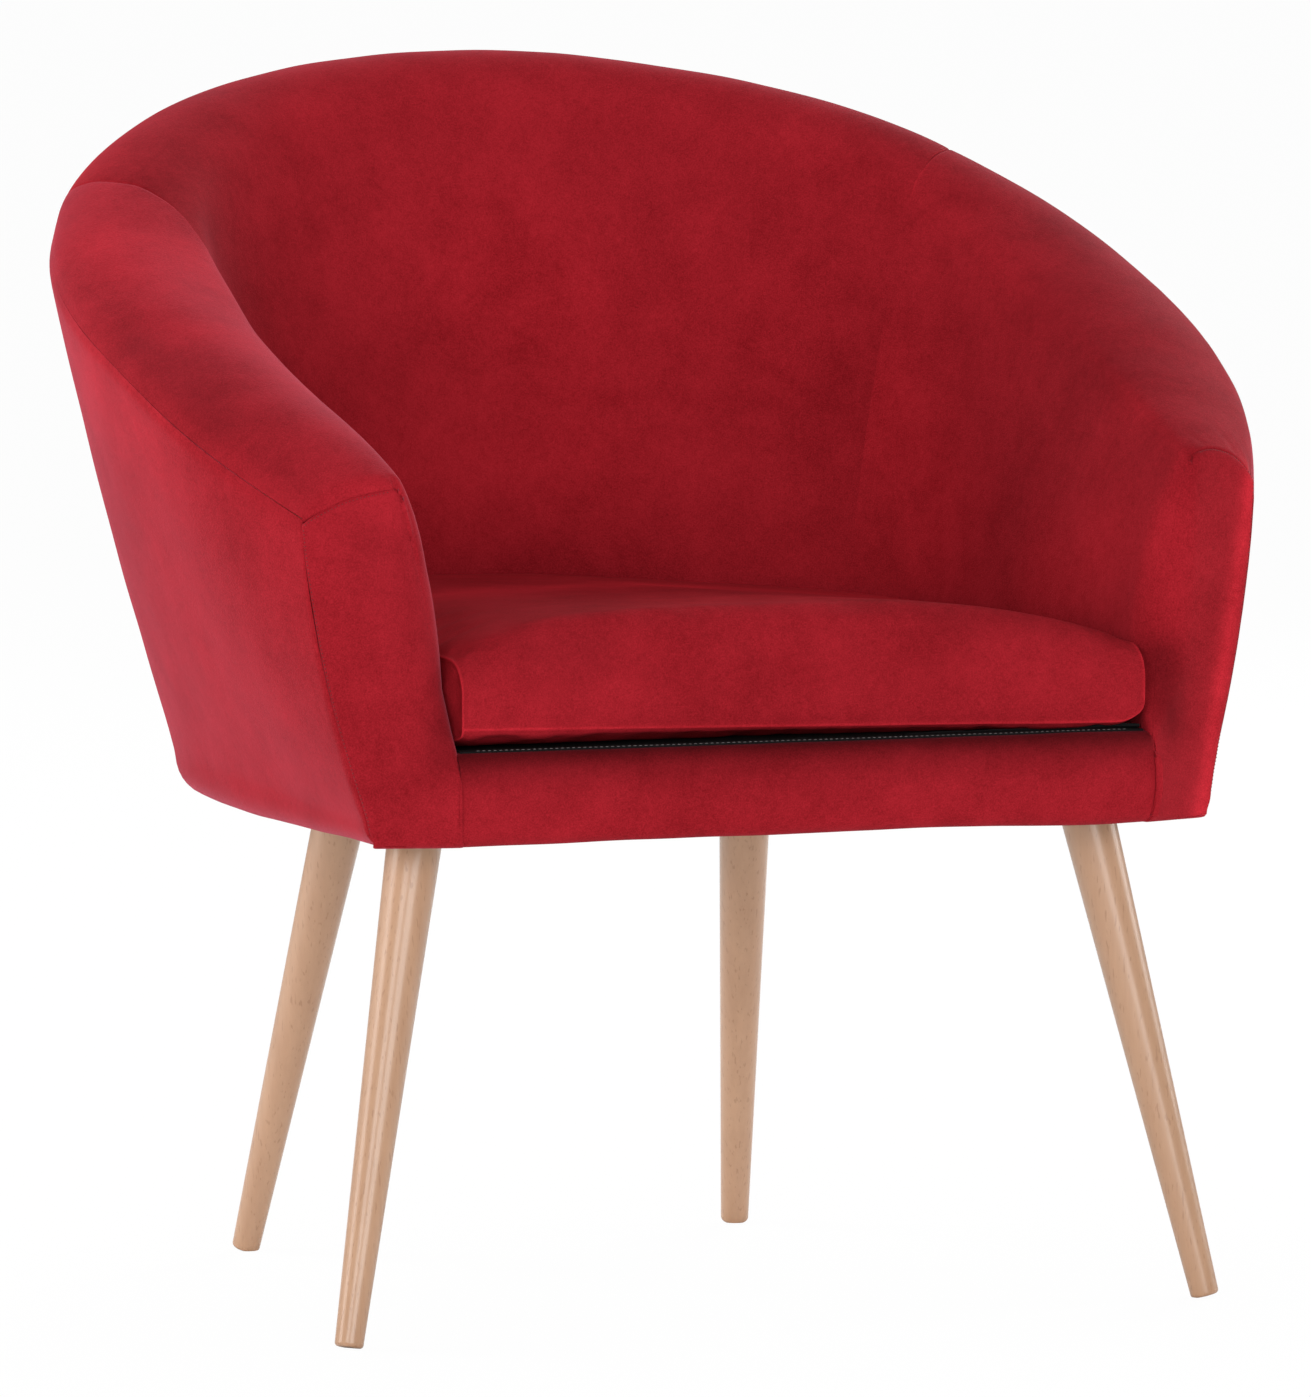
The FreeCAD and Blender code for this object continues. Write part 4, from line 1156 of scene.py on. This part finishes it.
def cushionOutline(rows, fine):
    stations = np.linspace(tub["frontRib"], cushion["lastStation"], 200)
    feet = np.array([footAt(s) for s in stations])
    y = feet[:, 1] - cushion["backGap"]
    y[0] = cushionFront
    y = np.maximum.accumulate(y)
    half = feet[:, 0] - cushion["sideGap"]
    run = np.concatenate([[0], np.cumsum(np.hypot(np.diff(y), np.diff(half)))])
    spots = crowded(rows, run[-1], fine) * run[-1]
    return np.interp(spots, run, half), np.interp(spots, run, y)


def cushionTop(x, half, y):
    back = np.clip((y - cushionFront) / (footBack - cushionFront - 20 * mm), 0, 1)
    share = np.clip(np.abs(x) / half, 0, 1)
    left, right = (front + (rear - front) * back for front, rear in (cushion["leftDrop"], cushion["rightDrop"]))
    power = 2.6 - 1.4 * np.clip(back * 2, 0, 1)
    shoulder = np.where(x < 0, left * share ** 6, right * share ** power)
    return deckHeight + cushion["rise"] - back * (cushion["backDrop"] - cushion["backSlope"] * x) - shoulder


def cushionLow(x, half, y):
    seamZ = deckHeight + cushion["seamHeight"] + cushion["seamSlope"] * x
    bottom = deckHeight + cushion["bottomHeight"] + cushion["bottomSlope"] * x
    depth = y - cushionFront
    lean = np.clip(1 - depth / cushion["rollDepth"], 0, 1)
    roll = bottom + (seamZ - bottom) * (1 - np.sqrt(1 - lean ** 2))
    rest = deckHeight + cushion["rest"]
    settle = np.exp(-np.maximum(depth - cushion["rollDepth"], 0) / cushion["settle"])
    low = rest + (roll - rest) * settle
    side = np.clip((x - (half - cushion["cornerReach"])) / cushion["cornerReach"], 0, 0.999)
    lift = cushion["cornerLift"] * (1 - np.sqrt(1 - side ** 2))
    return low + lift * (1 - smoothStep(depth, *cushion["cornerFade"]))


def cushionPoint(x, half, y, level):
    low = cushionLow(x, half, y)
    top = cushionTop(x, half, y)
    places = np.stack(np.broadcast_arrays(x, y, low + (top - low) * level), axis=-1).copy()
    radius = cushion["frontRound"]
    spoke = np.stack([cushionFront + radius - places[..., 1], places[..., 2] - (top - radius)], axis=-1)
    angle = np.arctan2(spoke[..., 1], spoke[..., 0])
    factor = np.cos(np.maximum(np.minimum(angle, math.pi / 2 - angle), 0))
    places[..., 1] = cushionFront + radius - spoke[..., 0] * factor
    places[..., 2] = top - radius + spoke[..., 1] * factor
    return places


def cushionGrids(columns, rows, levels, fine):
    half, y = cushionOutline(rows, fine)
    shares = crowded(columns, 2 * half[0], fine) * 2 - 1
    up = crowded(levels, cushion["rise"], fine)
    x = half[:, None] * shares[None]
    yy = np.repeat(y[:, None], len(shares), axis=1)
    hh = np.repeat(half[:, None], len(shares), axis=1)
    return {
        "Top": cushionPoint(x, hh, yy, 1.0),
        "Under": cushionPoint(x, hh, yy, 0.0),
        "Front": cushionPoint(x[:1], hh[:1], yy[:1], up[:, None]),
        "Back": cushionPoint(x[-1:], hh[-1:], yy[-1:], up[:, None]),
        "Left": cushionPoint(-half[None], half[None], y[None], up[:, None]),
        "Right": cushionPoint(half[None], half[None], y[None], up[:, None])}


def seamDistance(grids, places):
    # how far each place is from the side panels' seams, and from the seams across the front and back
    sides = np.concatenate([alongEdge(grids[side], edge) for side in ("Left", "Right")
                            for edge in ("low", "high", "left", "right")])
    cross = np.concatenate([grids["Front"][0], grids["Back"][0], grids["Back"][-1]])
    return [lineDistance(line, places) for line in (sides, cross)]


def inflate(piece, pins):
    before = readPlaces(piece)
    group = piece.vertex_groups.new(name="sewn")
    group.add([int(k) for k in np.flatnonzero(pins)], 1.0, "REPLACE")
    cloth = piece.modifiers.new("puff", "CLOTH")
    for setting, value in cushion["cloth"].items():
        setattr(cloth.settings, setting, value)
    cloth.settings.effector_weights.gravity = 0
    cloth.collision_settings.use_collision = False
    cloth.collision_settings.use_self_collision = False
    for step in range(1, cushion["frames"] + 1):
        bpy.context.scene.frame_set(step)
    applyModifiers(piece)
    move = readPlaces(piece) - before
    bpy.context.scene.frame_set(1)
    length = np.linalg.norm(move, axis=1, keepdims=True)
    return before, move * (cushion["cap"] * np.tanh(length / cushion["cap"])) / np.maximum(length, 1e-9)


def puffUp(places):
    # the coarse form's swelling, read at these places
    coarse = cushionGrids(*cushion["coarse"], False)
    form = joinPieces("cushionForm", [gridPiece("form" + name, grid) for name, grid in coarse.items()])
    sideGap, crossGap = seamDistance(coarse, readPlaces(form))
    before, move = inflate(form, np.minimum(sideGap, crossGap) < 0.3 * mm)
    bpy.data.objects.remove(form)
    tree = pointTree(before)
    result = np.zeros_like(places)
    for row, place in enumerate(places):
        near = tree.find_n(place, 5)
        weights = np.array([1 / (gap * gap + 1e-7) for _, _, gap in near])
        result[row] = (weights[:, None] * move[[k for _, k, _ in near]]).sum(axis=0) / weights.sum()
    return result


def buildCushion():
    grids = cushionGrids(*cushion["fine"], True)
    piece = joinPieces("cushion", [gridPiece("cushion" + name, grid) for name, grid in grids.items()])
    places = readPlaces(piece)
    sideGap, crossGap = seamDistance(grids, places)
    normals = readPlaces(piece, "normal")
    writePlaces(piece, places + puffUp(places))
    softer = piece.modifiers.new("soften", "SMOOTH")
    softer.iterations = 2
    applyModifiers(piece)
    places = readPlaces(piece)
    normals = readPlaces(piece, "normal")
    gap = np.minimum(sideGap, crossGap)
    (ridge, ridgeWidth), (groove, groovePlace, grooveWidth) = cushion["ridge"], cushion["groove"]
    shift = ridge * np.exp(-(gap / ridgeWidth) ** 2) - groove * np.exp(-((gap - groovePlace) / grooveWidth) ** 2)
    folds = np.exp(-sideGap / (15 * mm)) * ripple(places[:, 1] + 0.35 * places[:, 0], 5, 12 * mm)
    folds += 0.4 * np.exp(-crossGap / (13 * mm)) * ripple(places[:, 0], 6, 30 * mm)
    shift += cushion["pucker"] * folds * smoothStep(gap, 0.5 * mm, 5 * mm)
    up = smoothStep(normals[:, 2], 0.3, 0.8)
    # small wrinkles near the left front corner
    where = np.exp(-sideGap / (17 * mm)) * np.exp(-((places[:, 1] - cushionFront - 52 * mm) / (44 * mm)) ** 2)
    where *= up * (places[:, 0] < 0) * smoothStep(gap, 1 * mm, 6 * mm)
    shift += cushion["wrinkle"] * where * ripple(places[:, 1] - 0.6 * places[:, 0], 8, 10 * mm)
    writePlaces(piece, places + normals * shift[:, None])
    crease(piece, (-0.105, 0.4445), (0.085, 0.4395), 0.35 * mm, 4 * mm)
    loosen(piece, 0.6 * mm, 0.09, 17)
    smoothShade(piece, 75)
    paintPileToneAndShade(piece)
    # a painted highlight along the cushion's seams
    field = piece.data.attributes["toneAndShade"]
    toneAndShade = np.empty(len(places))
    field.data.foreach_get("value", toneAndShade)
    field.data.foreach_set("value", toneAndShade + cushion["seamHighlight"] * np.exp(-(gap / ridgeWidth) ** 2))
    loosePiece("cushion", "cushion", "velvet", velvetSeat, "cushion_cover", "cushion_core")


buildCushion()
print("cushion filled and seamed")


# The dust cloth under the chair, with a hole for each leg

under = {"thickness": 1.0 * mm, "legGap": 1.2 * mm, "inset": 4 * mm, "holeDepth": 20 * mm}


def buildDustCloth():
    (_, front, _), (_, _, top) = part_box("dust_cover")
    ribs = [Rib(s) for s in np.linspace(tub["frontRib"], 0.05, 80)]
    reach = tub["baseRound"] + under["inset"]
    edge = np.array([rib.place((rib.outer(tub["baseHeight"] + tub["baseRound"]) - reach, 0))[:2] for rib in ribs])
    first = (np.interp(front, edge[:, 1], edge[:, 0]), front)
    edge = np.concatenate([[first], edge[edge[:, 1] > front + 2 * mm]])
    shares = np.linspace(-1, 1, 100)
    places = np.zeros((len(edge), len(shares), 3))
    places[..., 0] = edge[:, :1] * shares[None]
    places[..., 1] = edge[:, 1:]
    places[..., 2] = top
    return gridPiece("dustCloth", places[:, ::-1]), places


dust, dustPlaces = buildDustCloth()
giveThickness(dust, under["thickness"])
for legName in ("leg_front_left", "leg_front_right", "leg_rear_left", "leg_rear_right"):
    legPlaces = readPlaces(frame["nodes"][legName])
    ring = legPlaces[legPlaces[:, 2] > tub["baseHeight"] - 2 * mm]
    centre = (ring.min(axis=0) + ring.max(axis=0)) / 2
    bpy.ops.object.select_all(action="DESELECT")
    radius = np.ptp(ring[:, 0]) / 2 + under["legGap"]
    bpy.ops.mesh.primitive_cylinder_add(vertices=48, radius=radius, depth=under["holeDepth"],
                                        location=(centre[0], centre[1], tub["baseHeight"]))
    cutter = bpy.context.object
    hole = dust.modifiers.new("hole", "BOOLEAN")
    hole.operation = "DIFFERENCE"
    hole.object = cutter
    applyModifiers(dust)
    bpy.data.objects.remove(cutter)
smoothShade(dust, 40)
loosePiece("dustCloth", "chair", "dust_cloth", dustCloth, "dust_cover")
print("dust cloth fitted")


# CAD pieces that keep their shape get their finish

finishes = {"velvet": velvet, "foam": foam, "frame_timber": frameTimber, "hardboard": hardboard, "beech": beech,
            "webbing": webbing, "platform_cloth": platformCloth, "dust_cloth": dustCloth, "steel": steel}
for part in frame["record"]["subparts"]:
    node = frame["nodes"][part["node"]]
    node.data.materials.clear()
    node.data.materials.append(finishes[part["material_slot"]])
    smoothShade(node, 35)
print("carried pieces finished")


# Camera, light and floor

view = {"place": (-3.8822, -8.7660, 1.2833), "yaw": 24.01, "pitch": 5.46, "focalPixels": 15000.0,
        "width": 1311, "height": 1397, "axisX": 646.2, "axisY": 705.3}
bpy.ops.object.select_all(action="DESELECT")
bpy.ops.object.camera_add(location=view["place"])
camera = bpy.context.object
camera.rotation_euler = (math.radians(90 - view["pitch"]), 0, -math.radians(view["yaw"]))
camera.data.sensor_width = 36
camera.data.lens = 36 * view["focalPixels"] / view["height"]
camera.data.shift_x = (view["width"] / 2 - view["axisX"]) / view["height"]
camera.data.shift_y = (view["axisY"] - view["height"] / 2) / view["height"]
camera.data.clip_end = 100
bpy.context.scene.camera = camera

# the camera sees the floor almost white, and it stays a plain surface for the light
bpy.ops.mesh.primitive_plane_add(size=60)
floor = bpy.context.object
floor.name = "floor"
floorPaint, nodes, links, shader = newMaterial("paleFloor")
shader.inputs["Base Color"].default_value = (0.9, 0.9, 0.9, 1)
shader.inputs["Roughness"].default_value = 0.9
glow = nodes.new("ShaderNodeEmission")
seen = nodes.new("ShaderNodeLightPath")
share = nodes.new("ShaderNodeMath")
share.operation = "MULTIPLY"
share.inputs[1].default_value = 0.97
links.new(seen.outputs["Is Camera Ray"], share.inputs[0])
blendShader = nodes.new("ShaderNodeMixShader")
links.new(share.outputs[0], blendShader.inputs[0])
links.new(shader.outputs[0], blendShader.inputs[1])
links.new(glow.outputs[0], blendShader.inputs[2])
links.new(blendShader.outputs[0], nodes["Material Output"].inputs["Surface"])
floor.data.materials.append(floorPaint)

# place, size and power of each lamp
lamps = {
    "frontLamp": ((-0.6, -5.0, 0.9), 2.4, 116),
    "backLeftLamp": ((-3.0, 2.5, 2.2), 2.0, 99),
    "backRightLamp": ((3.0, 2.5, 2.2), 2.0, 92),
    "frontLeftLamp": ((-3.0, -3.5, 1.4), 1.6, 56),
    "rightLamp": ((4.0, -0.5, 1.5), 2.0, 57),
    "leftLamp": ((-4.0, 0.5, 0.8), 1.6, 41),
    "topLamp": ((0.0, 0.2, 3.6), 2.4, 25),
}
lampAim = Vector((0, 0, 0.45))
for lampName, (lampPlace, lampSize, lampPower) in lamps.items():
    bpy.ops.object.light_add(type="AREA", location=lampPlace)
    light = bpy.context.object
    light.name = lampName
    light.data.size = lampSize
    light.data.energy = lampPower
    light.rotation_euler = (lampAim - Vector(lampPlace)).to_track_quat("-Z", "Y").to_euler()

world = bpy.data.worlds.new("studio")
bpy.context.scene.world = world
world.use_nodes = True
worldNodes = world.node_tree.nodes
worldLinks = world.node_tree.links
background = worldNodes["Background"]
background.inputs["Color"].default_value = (1, 1, 1, 1)
rays = worldNodes.new("ShaderNodeLightPath")
level = worldNodes.new("ShaderNodeMapRange")
level.inputs["To Min"].default_value = 0.3
level.inputs["To Max"].default_value = 1.0
seenBy = worldNodes.new("ShaderNodeMath")
seenBy.operation = "MAXIMUM"
worldLinks.new(rays.outputs["Is Camera Ray"], seenBy.inputs[0])
worldLinks.new(rays.outputs["Is Transmission Ray"], seenBy.inputs[1])
worldLinks.new(seenBy.outputs[0], level.inputs["Value"])
worldLinks.new(level.outputs[0], background.inputs["Strength"])
bpy.context.scene.view_settings.view_transform = "Standard"
print("camera and light set")
